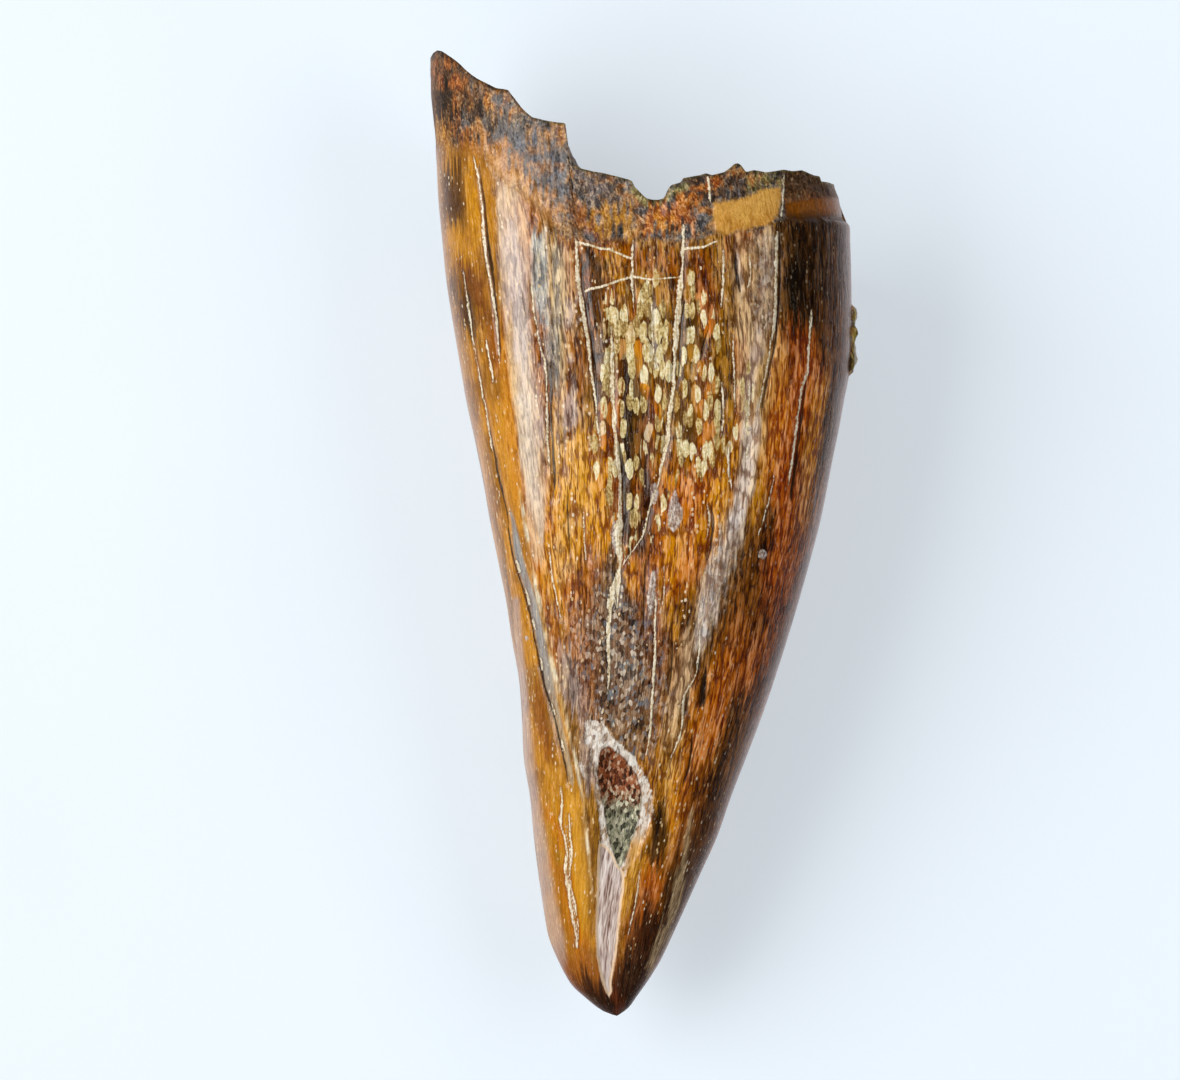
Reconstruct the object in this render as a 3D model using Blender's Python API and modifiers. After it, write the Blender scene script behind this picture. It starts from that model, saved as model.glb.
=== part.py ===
"""A fossil theropod tooth crown, lying on its side.

One solid.  The crown is a soft form: a coarse cage of rings under a
Subdivision Surface, cut by four cutters: the broken base, the spall above
the tip, the wear facet at the tip, and the small flat spot it rests on.

Frame: metres, +Z up.  +Y points to the broken base, the tip points to -Y,
+X is the edge with the long keel.  Z = 0 is the surface it lies on, and the
origin is under the centre of its outline.
"""
import math
import bpy
import bmesh
from mathutils import Vector

# ---------------------------------------------------------------- dimensions
MM = 0.001
UNIT = 0.0324 * MM          # one step of the plan's squared grid, in metres
PLAN_X0 = 642.9             # plan grid: the outline's middle, across
PLAN_Y0 = 534.3             # plan grid: the outline's middle, along

LENGTH = 31.4 * MM          # tip to the point of the broken base
WIDTH = 13.8 * MM           # across the base
THICKNESS = 10.0 * MM       # top of the lying crown, at the base

SQUARENESS = 2.35           # superellipse exponent of a section's upper half
SQUARENESS_LOW = 2.2        # and of its lower half
RING_POINTS = 16
KEEL_CREASE = 0.55          # how sharp the long keel is under subdivision
RIDGE_HEIGHT = 0.30 * MM    # the short keel stands out of the upper face
LEDGE_DEPTH = 0.16 * MM     # and the flank beside it is set back

DISH_DEPTH = 16             # plan steps that the break is dished
PULP_LEVEL = 214            # where the break lies in the middle, along
PULP_DEPTH = 40             # and how far the pulp hollow goes below that

SPALL_CENTRE = (624.0, 806.0)
SPALL_RADII = (0.74 * MM, 2.15 * MM, 0.62 * MM)
SPALL_SINK = 0.44 * MM      # depth of the spall at its middle

FACET_FROM_TO = (878.0, 990.0)
FACET_DEPTH = 0.045 * MM

# Left and right side of the plan outline: (along, across) in plan steps.
LEFT_SIDE = [(0, 427), (60, 429), (120, 432), (200, 438), (280, 446),
             (360, 459), (440, 475), (520, 490), (600, 506), (680, 519),
             (760, 524), (840, 534), (900, 542), (940, 549), (970, 561),
             (990, 574), (1003, 588), (1012, 600), (1019, 616)]
RIGHT_SIDE = [(0, 830), (60, 834), (120, 838), (200, 843), (240, 849),
              (300, 852), (350, 853), (400, 845), (460, 833), (520, 821),
              (600, 800), (680, 775), (760, 746), (840, 717), (900, 690),
              (940, 672), (970, 656), (990, 643), (1003, 632), (1012, 626),
              (1019, 617)]
# Height of the top line and of the underside along the crown, in mm.
TOP_LINE = [(0, 9.9), (120, 10.0), (240, 10.0), (340, 9.85), (440, 9.5),
            (540, 8.95), (640, 8.2), (740, 7.3), (840, 6.25), (900, 5.55),
            (950, 4.85), (985, 4.2), (1005, 3.7), (1019, 3.1)]
UNDERSIDE = [(0, 0.25), (120, 0.1), (220, -0.1), (320, -0.2), (440, -0.22),
             (540, -0.14), (640, 0.1), (740, 0.5), (840, 1.08), (900, 1.55),
             (950, 2.02), (985, 2.42), (1005, 2.7), (1019, 3.0)]
# Where the short keel runs on the upper face: (along, across).
RIDGE_LINE = [(0, 500), (450, 505), (500, 515), (550, 524), (600, 535),
              (645, 545), (690, 556), (730, 567), (765, 576), (800, 583),
              (840, 590), (1019, 612)]
# The broken edge of the upper wall, as seen from above: (across, along).
BREAK_TOP = [(420, 78), (430, 58), (437, 50), (448, 55), (460, 64), (472, 75),
             (484, 82), (496, 88), (508, 90), (514, 99), (526, 112),
             (538, 119), (550, 121), (565, 124), (568, 155), (580, 168),
             (604, 173), (628, 180), (640, 192), (648, 199), (662, 199),
             (670, 185), (688, 177), (706, 173), (724, 172), (737, 163),
             (748, 172), (766, 172), (784, 169), (802, 170), (820, 176),
             (834, 184), (839, 192), (845, 222), (860, 229)]
# The broken edge of the lower wall, which nothing shows: (angle in degrees
# round the section, counted from the long keel over the top; along).
BREAK_LOW = [(180, 56), (190, 64), (202, 82), (214, 116), (226, 150),
             (238, 176), (250, 203), (262, 216), (275, 236), (290, 240),
             (303, 250), (316, 243), (330, 246), (345, 234), (360, 224)]
BREAK_RINGS = [0.14, 0.28, 0.42, 0.56, 0.7, 0.82, 0.92, 1.0, 1.12]

STATIONS = [-10, 45, 120, 205, 300, 400, 500, 590, 675, 755, 830, 895, 945,
            980, 1002]
TIP = (617.0, 1019.0, 3.06)   # across, along, height in mm


# ------------------------------------------------------------------- helpers
def along(table, t):
    """Smooth value of a table of (t, value) pairs at t."""
    if t <= table[0][0]:
        return table[0][1]
    if t >= table[-1][0]:
        return table[-1][1]
    for i in range(len(table) - 1):
        t0, v0 = table[i]
        t1, v1 = table[i + 1]
        if t <= t1:
            tm, vm = table[max(i - 1, 0)]
            tp, vp = table[min(i + 2, len(table) - 1)]
            s0 = (v1 - vm) / (t1 - tm)
            s1 = (vp - v0) / (tp - t0)
            h = t1 - t0
            u = (t - t0) / h
            return ((2 * u ** 3 - 3 * u ** 2 + 1) * v0
                    + (u ** 3 - 2 * u ** 2 + u) * h * s0
                    + (-2 * u ** 3 + 3 * u ** 2) * v1
                    + (u ** 3 - u ** 2) * h * s1)


def straight(table, t):
    """Value of a table at t, with straight runs between its points."""
    if t <= table[0][0]:
        return table[0][1]
    for (t0, v0), (t1, v1) in zip(table, table[1:]):
        if t <= t1:
            return v0 + (v1 - v0) * (t - t0) / (t1 - t0)
    return table[-1][1]


def smoothstep(a, b, t):
    u = min(1.0, max(0.0, (t - a) / (b - a)))
    return u * u * (3 - 2 * u)


def place(px, py, z):
    """Plan grid to metres."""
    return Vector(((px - PLAN_X0) * UNIT, (PLAN_Y0 - py) * UNIT, z))


def power(value, exponent):
    return math.copysign(abs(value) ** exponent, value)


def section(py):
    """Points of one section of the crown, counted from the long keel."""
    left, right = along(LEFT_SIDE, py), along(RIGHT_SIDE, py)
    top, low = along(TOP_LINE, py) * MM, along(UNDERSIDE, py) * MM
    middle, half = (left + right) / 2, (right - left) / 2
    waist = low + (top - low) * 0.47
    across = (along(RIDGE_LINE, py) - middle) / half
    ridge = math.acos(-abs(across) ** (SQUARENESS / 2))
    step = ridge / 6
    angles = [step * k for k in range(7)] + [(ridge + math.pi) / 2, math.pi]
    angles += [math.pi * (1 + k / 8) for k in range(1, 8)]
    shown = smoothstep(430, 520, py) * (1 - smoothstep(800, 870, py))
    points = []
    for k, angle in enumerate(angles):
        n = SQUARENESS if angle <= math.pi else SQUARENESS_LOW
        c, s = power(math.cos(angle), 2 / n), power(math.sin(angle), 2 / n)
        height = (top - waist) if s > 0 else (waist - low)
        p = place(middle + half * c, py, waist + height * s)
        out = Vector((c * height, 0, s * half * UNIT)).normalized()
        if k == 6:
            p += out * RIDGE_HEIGHT * shown
        if k == 7:
            p -= out * LEDGE_DEPTH * shown
        points.append(p)
    return points


def cage_rings():
    """Rings whose subdivided surface passes through the sections."""
    goal = [section(py) for py in STATIONS]
    rings = [[p.copy() for p in ring] for ring in goal]
    last = len(rings) - 1
    for _ in range(8):
        limit = []
        for i, ring in enumerate(rings):
            soft = [(ring[k - 1] + 4 * ring[k] + ring[(k + 1) % RING_POINTS]) / 6
                    for k in range(RING_POINTS)]
            limit.append(soft)
        for i in range(last + 1):
            for k in range(RING_POINTS):
                if 0 < i < last:
                    seen = (limit[i - 1][k] + 4 * limit[i][k] + limit[i + 1][k]) / 6
                else:
                    seen = limit[i][k]
                rings[i][k] = rings[i][k] + (goal[i][k] - seen) * 0.9
    return rings


def new_object(name, bm, collection):
    mesh = bpy.data.meshes.new(name)
    bmesh.ops.recalc_face_normals(bm, faces=bm.faces)
    bm.to_mesh(mesh)
    bm.free()
    obj = bpy.data.objects.new(name, mesh)
    collection.objects.link(obj)
    return obj


def as_cutter(obj):
    obj.hide_render = True
    obj.display_type = "WIRE"
    return obj


def cut(obj, cutter):
    modifier = obj.modifiers.new(cutter.name, "BOOLEAN")
    modifier.operation = "DIFFERENCE"
    modifier.solver = "EXACT"
    modifier.object = cutter


# ------------------------------------------------------------------ the crown
def make_crown(collection):
    bm = bmesh.new()
    crease = bm.edges.layers.float.new("crease_edge")
    rings = [[bm.verts.new(p) for p in ring] for ring in cage_rings()]
    for a, b in zip(rings, rings[1:]):
        for k in range(RING_POINTS):
            m = (k + 1) % RING_POINTS
            bm.faces.new((a[k], a[m], b[m], b[k]))
    bm.faces.new(rings[0])
    tip = bm.verts.new(place(TIP[0], TIP[1] + 5.5, TIP[2] * MM))
    for k in range(RING_POINTS):
        bm.faces.new((rings[-1][k], rings[-1][(k + 1) % RING_POINTS], tip))
    for a, b in zip(rings, rings[1:]):
        bm.edges.get((a[0], b[0]))[crease] = KEEL_CREASE
    for i, (a, b) in enumerate(zip(rings, rings[1:])):
        if 480 <= STATIONS[i] <= 800:
            bm.edges.get((a[6], b[6]))[crease] = 0.7
    obj = new_object("tooth", bm, collection)
    obj.data.shade_smooth()
    soft = obj.modifiers.new("soft form", "SUBSURF")
    soft.levels = soft.render_levels = 2
    return obj


# ---------------------------------------------------------------- the cutters
def break_columns():
    """Where the break's edge runs: (plan x share, height share, along)."""
    columns = []
    for px, py in reversed(BREAK_TOP):
        left, right = along(LEFT_SIDE, py), along(RIGHT_SIDE, py)
        c = (px - (left + right) / 2) / ((right - left) / 2)
        if abs(c) < 0.999:
            s = (1 - abs(c) ** SQUARENESS) ** (1 / SQUARENESS)
            columns.append((c, s, py))
    for angle, py in BREAK_LOW:
        a = math.radians(angle)
        columns.append((power(math.cos(a), 2 / SQUARENESS_LOW),
                        power(math.sin(a), 2 / SQUARENESS_LOW) if angle % 180 else 0.0, py))
    return columns


def make_break_cutter(collection):
    """A block whose lower end is the broken surface of the base: a fan of
    columns from the middle of the section out past the wall."""
    columns = break_columns()
    inner = PULP_LEVEL
    bm = bmesh.new()
    near, far = [], []
    for k, (c, s, rim) in enumerate(columns):
        near.append([])
        far.append([])
        for ring, r in enumerate(BREAK_RINGS):
            share = smoothstep(0.18, 1.0, r) ** 1.25
            rough = 2.6 * math.sin(k * 1.9 + ring * 2.3) * smoothstep(0.25, 0.6, r)
            rough *= 1 - smoothstep(0.9, 1.0, r)
            dish = DISH_DEPTH * math.sin(math.pi * min(1.0, r)) * 0.55
            pulp = PULP_DEPTH * (1 - smoothstep(0.05, 0.48, r))
            py = inner + (rim - inner) * share + dish + rough + pulp
            left, right = along(LEFT_SIDE, rim), along(RIGHT_SIDE, rim)
            top, low = along(TOP_LINE, rim), along(UNDERSIDE, rim)
            waist = low + (top - low) * 0.47
            px = (left + right) / 2 + (right - left) / 2 * c * r
            z = waist + ((top - waist) if s > 0 else (waist - low)) * s * r
            near[-1].append(bm.verts.new(place(px, py, z * MM)))
            far[-1].append(bm.verts.new(place(px, -60, z * MM)))
    centre = place(648, inner + PULP_DEPTH, 4.7 * MM)
    hub_near = bm.verts.new(centre)
    hub_far = bm.verts.new(place(648, -60, 4.7 * MM))
    n, last = len(columns), len(BREAK_RINGS) - 1
    for k in range(n):
        m = (k + 1) % n
        bm.faces.new((hub_near, near[k][0], near[m][0]))
        bm.faces.new((hub_far, far[m][0], far[k][0]))
        for j in range(last):
            bm.faces.new((near[k][j], near[k][j + 1], near[m][j + 1], near[m][j]))
            bm.faces.new((far[k][j], far[m][j], far[m][j + 1], far[k][j + 1]))
        bm.faces.new((near[k][last], far[k][last], far[m][last], near[m][last]))
    return as_cutter(new_object("cut_break", bm, collection))


def make_rest_cutter(collection):
    """Everything under the surface that the crown lies on."""
    bm = bmesh.new()
    bmesh.ops.create_cube(bm, size=1.0)
    bmesh.ops.scale(bm, vec=(30 * MM, 50 * MM, 4 * MM), verts=bm.verts)
    bmesh.ops.translate(bm, vec=(0, 0, -2 * MM), verts=bm.verts)
    return as_cutter(new_object("cut_rest_spot", bm, collection))


def make_spall_cutter(collection):
    """The teardrop-shaped pit that a flake left above the tip."""
    bm = bmesh.new()
    bmesh.ops.create_uvsphere(bm, u_segments=24, v_segments=14, radius=1.0)
    for v in bm.verts:
        toward_tip = max(0.0, -v.co.y)
        narrow = 1 - 0.55 * toward_tip ** 1.4
        v.co = Vector((v.co.x * narrow * SPALL_RADII[0], v.co.y * SPALL_RADII[1],
                       v.co.z * SPALL_RADII[2]))
    px, py = SPALL_CENTRE
    top = along(TOP_LINE, py) * MM
    slope = math.atan2((along(TOP_LINE, py - 30) - along(TOP_LINE, py + 30)) * MM, 60 * UNIT)
    obj = as_cutter(new_object("cut_spall", bm, collection))
    obj.location = place(px, py, top + SPALL_RADII[2] - SPALL_SINK)
    obj.rotation_euler = (slope, 0, math.radians(-3))
    return obj


def make_facet_cutter(collection):
    """The narrow flat that wear left on the upper face, down to the tip."""
    y0, y1 = FACET_FROM_TO
    z0 = along(TOP_LINE, y0) * MM - 0.2 * FACET_DEPTH
    z1 = along(TOP_LINE, y1) * MM - FACET_DEPTH
    bm = bmesh.new()
    bmesh.ops.create_cube(bm, size=1.0)
    bmesh.ops.scale(bm, vec=(8 * MM, 9 * MM, 3 * MM), verts=bm.verts)
    bmesh.ops.translate(bm, vec=(0, 0, 1.5 * MM), verts=bm.verts)
    obj = as_cutter(new_object("cut_facet", bm, collection))
    obj.location = place(608, (y0 + y1) / 2, (z0 + z1) / 2)
    obj.rotation_euler = (math.atan2(z0 - z1, (y1 - y0) * UNIT), 0, 0)
    return obj


def make_material():
    """Brown-orange fossil enamel, polished and streaked."""
    material = bpy.data.materials.new("fossil_enamel")
    material.use_nodes = True
    shader = material.node_tree.nodes["Principled BSDF"]
    shader.inputs["Base Color"].default_value = (0.33, 0.15, 0.045, 1)
    shader.inputs["Roughness"].default_value = 0.34
    shader.inputs["Metallic"].default_value = 0.0
    return material


def main():
    for obj in list(bpy.data.objects):
        bpy.data.objects.remove(obj, do_unlink=True)
    parts = bpy.data.collections.new("fossil_tooth")
    cutters = bpy.data.collections.new("fossil_tooth_cutters")
    bpy.context.scene.collection.children.link(parts)
    bpy.context.scene.collection.children.link(cutters)
    tooth = make_crown(parts)
    for cutter in (make_break_cutter(cutters), make_spall_cutter(cutters),
                   make_facet_cutter(cutters), make_rest_cutter(cutters)):
        cut(tooth, cutter)
    tooth.data.materials.append(make_material())


main()
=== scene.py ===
import math

import bpy
import numpy as np
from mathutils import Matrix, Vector


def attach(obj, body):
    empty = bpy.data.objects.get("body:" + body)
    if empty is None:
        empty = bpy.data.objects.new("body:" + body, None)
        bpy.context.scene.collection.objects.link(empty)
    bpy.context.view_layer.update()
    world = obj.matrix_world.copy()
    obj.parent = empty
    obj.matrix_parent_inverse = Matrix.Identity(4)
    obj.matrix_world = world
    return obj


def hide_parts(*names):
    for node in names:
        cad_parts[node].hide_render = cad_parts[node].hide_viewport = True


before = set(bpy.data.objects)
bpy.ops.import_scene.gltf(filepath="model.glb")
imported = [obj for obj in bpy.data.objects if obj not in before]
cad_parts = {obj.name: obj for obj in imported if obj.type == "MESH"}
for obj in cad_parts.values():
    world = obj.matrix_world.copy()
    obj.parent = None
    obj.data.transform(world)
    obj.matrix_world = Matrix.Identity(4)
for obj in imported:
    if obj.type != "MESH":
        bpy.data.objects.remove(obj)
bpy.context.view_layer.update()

# ----------------------------------------------------------------- dimensions
# The plan grid: one step is 0.0324 mm; x runs across, y from the broken base
# down to the tip.  Heights are in mm.
STEP = 0.0324
X0, Y0 = 642.9, 534.3
COLUMNS = 404            # vertices round a section
ROWS_BASE, ROWS_CROWN = 38, 181
CAP_RINGS = 26
JOIN_ROW = 300.0         # below this row every column is at the same y

# The camera looks straight down on (590, 540) of the plan grid.
LENS, SENSOR = 250.0, 36.0
VIEW_X, VIEW_Y, PLANE = 590.0, 540.0, 4.8
DISTANCE = 1180 * STEP * LENS / SENSOR          # mm, camera to the plane

LEFT = [(40, 428.5), (60, 429), (100, 430), (120, 432), (160, 436), (200, 438), (240, 442),
        (280, 446), (320, 452), (360, 459), (400, 466), (440, 475), (480, 483),
        (520, 490), (560, 498), (600, 506), (640, 512), (680, 519), (720, 522),
        (760, 524), (800, 530), (840, 534), (880, 539), (900, 542), (920, 545),
        (940, 549), (960, 557), (980, 567), (990, 574), (1000, 585), (1010, 597),
        (1016, 607), (1019, 617)]
RIGHT = [(40, 828), (100, 832), (160, 834), (185, 835), (200, 840), (215, 843), (221, 844),
         (225, 849), (240, 850), (300, 851.5), (340, 851), (372, 849),
         (400, 844), (430, 839), (460, 833), (520, 821),
         (560, 811), (600, 800), (640, 788), (680, 775), (720, 761), (760, 746),
         (800, 731), (840, 717), (880, 699), (920, 681), (960, 662), (980, 650),
         (1000, 636), (1010, 629), (1016, 622), (1019, 617)]
TOP = [(40, 9.9), (120, 10.0), (240, 10.0), (340, 9.85), (440, 9.5), (540, 8.95),
       (640, 8.2), (740, 7.3), (840, 6.25), (900, 5.55), (950, 4.85), (985, 4.2),
       (1005, 3.7), (1019, 3.06)]
UNDER = [(40, 0.25), (120, 0.1), (220, -0.1), (320, -0.2), (440, -0.22), (540, -0.14),
         (640, 0.1), (740, 0.5), (840, 1.08), (900, 1.55), (950, 2.02), (985, 2.42),
         (1005, 2.7), (1019, 3.06)]
SQUARE_TOP, SQUARE_LOW = 2.35, 2.2

BREAK_TOP = [(420, 72), (430, 58), (433, 53), (437, 50), (442, 51), (448, 55), (454, 59), (460, 64),
             (466, 70), (472, 75), (478, 79), (484, 82), (496, 88), (504, 89), (508, 90), (511, 94),
             (514, 99), (520, 106), (526, 112), (532, 117), (544, 120), (556, 122), (565, 123),
             (567, 127), (567.5, 150), (570, 158), (574, 165), (580, 168), (592, 171), (604, 173), (616, 176),
             (628, 179), (632, 181), (634, 186), (640, 192), (646, 198), (652, 199.5), (658, 199.5),
             (664, 198), (668, 189), (671, 185), (676, 183.5), (681, 182), (683, 178), (688, 177), (700, 175),
             (706, 173), (712, 175), (724, 172), (730, 168), (734, 164), (738, 163), (741, 165),
             (746, 172), (754, 170), (758, 170.5), (766, 172.5), (776, 171), (784, 169.5), (793, 171), (802, 170),
             (814, 175), (820, 176), (821, 181), (828, 182), (834, 184), (838, 191), (842, 210), (845, 222),
             (849, 224), (860, 230)]
BREAK_LOW = [(180, 56), (190, 64), (202, 82), (214, 116), (226, 150), (238, 176),
             (250, 203), (262, 216), (275, 236), (290, 240), (303, 250), (316, 243),
             (330, 246), (345, 234), (360, 224)]

# The crest between the left flank and the shown face, and the softer one
# between that face and the right flank, as (y, x).
CREST = [(40, 490), (140, 492), (185, 496), (240, 498), (300, 500.5), (340, 505), (380, 510), (420, 515),
         (460, 519), (490, 522), (520, 525), (550, 529), (580, 534), (610, 541),
         (640, 547.5), (680, 557), (720, 566.5), (750, 574), (790, 582), (840, 590),
         (900, 594), (1019, 612)]
CREST2 = [(40, 790), (190, 782), (234, 777), (290, 776), (316, 774.5), (340, 771), (360, 768), (395, 761),
          (430, 757), (480, 750), (540, 735), (600, 716), (680, 694), (760, 668), (860, 636),
          (1019, 618)]
ENAMEL_EDGE = [(420, 150), (436, 148), (452, 146), (470, 148), (484, 156), (495, 170), (506, 182),
               (520, 190), (532, 204), (540, 212), (552, 226), (560, 238), (568, 242),
               (575, 238), (600, 244), (632, 243), (646, 240), (660, 239), (675, 242), (690, 240),
               (706, 238), (718, 234), (735, 232), (752, 229), (762, 231), (775, 223),
               (786, 222), (845, 222), (860, 222)]


# -------------------------------------------------------------------- numbers
def curve(table, t):
    """Smooth value of (t, value) pairs, for an array t."""
    ts = np.array([p[0] for p in table], float)
    vs = np.array([p[1] for p in table], float)
    t = np.clip(np.asarray(t, float), ts[0], ts[-1])
    m = np.empty_like(vs)
    h = np.diff(ts)
    d = np.diff(vs) / h
    m[0], m[-1] = d[0], d[-1]
    m[1:-1] = (vs[2:] - vs[:-2]) / (ts[2:] - ts[:-2])
    i = np.clip(np.searchsorted(ts, t, side="right") - 1, 0, len(ts) - 2)
    u = (t - ts[i]) / h[i]
    return ((2 * u ** 3 - 3 * u ** 2 + 1) * vs[i] + (u ** 3 - 2 * u ** 2 + u) * h[i] * m[i]
            + (-2 * u ** 3 + 3 * u ** 2) * vs[i + 1] + (u ** 3 - u ** 2) * h[i] * m[i + 1])


def line(table, t):
    return np.interp(t, [p[0] for p in table], [p[1] for p in table])


def step(a, b, t):
    u = np.clip((np.asarray(t, float) - a) / (b - a), 0, 1)
    return u * u * (3 - 2 * u)


def hashed(i, j, k, seed):
    n = (i.astype(np.int64) * 374761393 + j.astype(np.int64) * 668265263
         + k.astype(np.int64) * 2147483647 + seed * 974634777) & 0xffffffff
    n = ((n ^ (n >> 13)) * 1274126177) & 0xffffffff
    n = ((n ^ (n >> 15)) * 2246822519) & 0xffffffff
    return ((n ^ (n >> 16)) & 0xffffff) / float(0xffffff)


def noise(x, y, z=0.0, seed=0):
    """Smooth value noise from 0 to 1."""
    x, y, z = np.broadcast_arrays(np.asarray(x, float), np.asarray(y, float), np.asarray(z, float))
    i, j, k = np.floor(x), np.floor(y), np.floor(z)
    u, v, w = x - i, y - j, z - k
    u, v, w = (q * q * q * (q * (q * 6 - 15) + 10) for q in (u, v, w))
    out = 0
    for a in (0, 1):
        for b in (0, 1):
            for c in (0, 1):
                out = out + (hashed(i + a, j + b, k + c, seed) * (u if a else 1 - u)
                             * (v if b else 1 - v) * (w if c else 1 - w))
    return out


def layered(x, y, z=0.0, seed=0, octaves=3, gain=0.5):
    total, size, out = 0.0, 1.0, 0.0
    for o in range(octaves):
        out = out + size * noise(x * 2.03 ** o, y * 2.03 ** o, np.asarray(z) * 2.03 ** o, seed + 31 * o)
        total += size
        size *= gain
    return out / total


# ----------------------------------------------------------- the base surface
def section_columns():
    """Where the columns go round a section: share across and share up."""
    t = np.linspace(0, math.pi, 6001)
    fine = []
    for sign, n in ((1, SQUARE_TOP), (-1, SQUARE_LOW)):
        c = np.cos(t)
        s = (1 - np.abs(c) ** n) ** (1 / n) * sign
        if sign < 0:
            c = -c
        fine.append((c, s))
    c = np.concatenate([fine[0][0], fine[1][0][1:]])
    s = np.concatenate([fine[0][1], fine[1][1][1:]])
    x, z = c * 190, s * 160
    run = np.hypot(np.diff(x), np.diff(z))
    mid_s, mid_c = (s[1:] + s[:-1]) / 2, (c[1:] + c[:-1]) / 2
    weight = np.where(mid_s > 0, 1.0 - 0.45 * step(0.9, 0.99, np.abs(mid_c)), 0.33)
    weight = np.where((mid_s <= 0) & (mid_s > -0.25), 0.45, weight)
    total = np.concatenate([[0], np.cumsum(run * weight)])
    want = np.linspace(0, total[-1], COLUMNS, endpoint=False)
    return np.interp(want, total, c), np.interp(want, total, s)


def seen(px, py, z):
    """Where the camera sees a point of the plan: the same grid, at the plane."""
    k = DISTANCE / (DISTANCE - (z - PLANE))
    return VIEW_X + (px - VIEW_X) * k, VIEW_Y + (py - VIEW_Y) * k


def height_at(py, ck, sk):
    top, low = curve(TOP, py), curve(UNDER, py)
    waist = low + (top - low) * 0.47
    return waist + np.where(sk > 0, (top - waist) * sk, (waist - low) * sk)


def rims(ck, sk):
    """The y at which each column meets the broken edge."""
    rim = np.full(COLUMNS, 150.0)
    upper = sk > 0
    for _ in range(14):
        left, right = curve(LEFT, rim), curve(RIGHT, rim)
        px = (left + right) / 2 + (right - left) / 2 * ck
        z = height_at(rim, ck, sk)
        k = DISTANCE / (DISTANCE - (z - PLANE))
        want = VIEW_Y + (line(BREAK_TOP, VIEW_X + (px - VIEW_X) * k) - VIEW_Y) / k
        rim = np.where(upper, 0.5 * rim + 0.5 * want, rim)
    angle = np.degrees(np.arctan2(sk, ck)) % 360
    low = line(BREAK_LOW, np.where(angle < 1e-6, 360, angle))
    low = low + 3.5 * (layered(angle / 7.0, 3.3, 0, 5) - 0.5) * 2
    return np.where(upper, rim, low)


ck, sk = section_columns()
rim = rims(ck, sk)
v_base = np.linspace(0, 1, ROWS_BASE, endpoint=False)
rows_base = rim[None, :] + (JOIN_ROW - rim[None, :]) * (v_base[:, None] ** 1.05)
v_crown = np.linspace(0, 1, ROWS_CROWN)
v_crown = 1 - (1 - v_crown) * (0.86 + 0.14 * (1 - v_crown) ** 0.5)
rows_crown = JOIN_ROW + (1017.6 - JOIN_ROW) * v_crown
PY = np.concatenate([rows_base, np.repeat(rows_crown[:, None], COLUMNS, 1)], 0)
ROWS = PY.shape[0]

left, right = curve(LEFT, PY), curve(RIGHT, PY)
top, low = curve(TOP, PY), curve(UNDER, PY)
middle, half = (left + right) / 2, (right - left) / 2
waist = low + (top - low) * 0.47
C, S = np.broadcast_to(ck, PY.shape), np.broadcast_to(sk, PY.shape)
PX = middle + half * C
up, down = top - waist, waist - low
Z = waist + np.where(S > 0, up * S, down * S)
n_exp = np.where(S > 0, SQUARE_TOP, SQUARE_LOW)
high = np.where(S > 0, up, down)
NX = np.sign(C) * np.abs(C) ** (n_exp - 1) / (half * STEP)
NZ = np.sign(S) * np.abs(S) ** (n_exp - 1) / np.maximum(high, 1e-3)
norm = np.hypot(NX, NZ) + 1e-9
NX, NZ = NX / norm, NZ / norm
FRONT = step(0.0, 0.10, S)
FACE = FRONT > 0.3
# Every feature of the shown side is placed where the camera sees it.
PXF, PYF = seen(PX, PY, Z)

# ------------------------------------------------------------- plan features
def polygon(points, x=None, y=None):
    """Signed distance to a closed outline, positive inside, in plan steps."""
    x = PXF if x is None else x
    y = PYF if y is None else y
    best = np.full(x.shape, 1e9)
    inside = np.zeros(x.shape, bool)
    n = len(points)
    for i in range(n):
        ax, ay = points[i]
        bx, by = points[(i + 1) % n]
        ex, ey = bx - ax, by - ay
        t = np.clip(((x - ax) * ex + (y - ay) * ey) / (ex * ex + ey * ey + 1e-9), 0, 1)
        best = np.minimum(best, np.hypot(x - ax - t * ex, y - ay - t * ey))
        crosses = ((ay > y) != (by > y)) & (x < (bx - ax) * (y - ay) / ((by - ay) + 1e-12) + ax)
        inside ^= crosses
    return np.where(inside, best, -best)


# Painted areas have feathered, streaky borders: their coordinates wander.
GIRTH = PXF + 148.0 * C * (1 - np.abs(S))
feather = (layered(GIRTH / 2.8, PYF / 34.0, 0, 21, 2) - 0.5) * 2
WX = PXF + 2.2 * (layered(GIRTH / 12.0, PYF / 22.0, 0, 22, 2) - 0.5) * 2
WY = PYF + 20 * feather + 5 * (layered(GIRTH / 9.0, PYF / 12.0, 0, 23, 2) - 0.5) * 2


def blob(x, y, rx, ry, soft=0.8):
    """A soft oval, 1 in its middle."""
    d = np.sqrt(((WX - x) / rx) ** 2 + ((WY - y) / ry) ** 2)
    return 1 - step(1 - 0.5 * soft, 1 + 0.5 * soft, d)


def stroke(points, soft=0.6, exact=False):
    """A soft band along (x, y, half width) points."""
    gx, gy = (PXF, PYF) if exact else (WX, WY)
    out = np.zeros(PXF.shape)
    for (ax, ay, aw), (bx, by, bw) in zip(points, points[1:]):
        ex, ey = bx - ax, by - ay
        t = np.clip(((gx - ax) * ex + (gy - ay) * ey) / (ex * ex + ey * ey), 0, 1)
        d = np.hypot(gx - ax - t * ex, gy - ay - t * ey)
        w = aw + (bw - aw) * t
        out = np.maximum(out, 1 - step(1 - soft, 1 + soft, d / w))
    return out


def either(*fields):
    out = 1.0
    for f in fields:
        out = out * (1 - np.clip(f, 0, 1))
    return 1 - out


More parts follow.
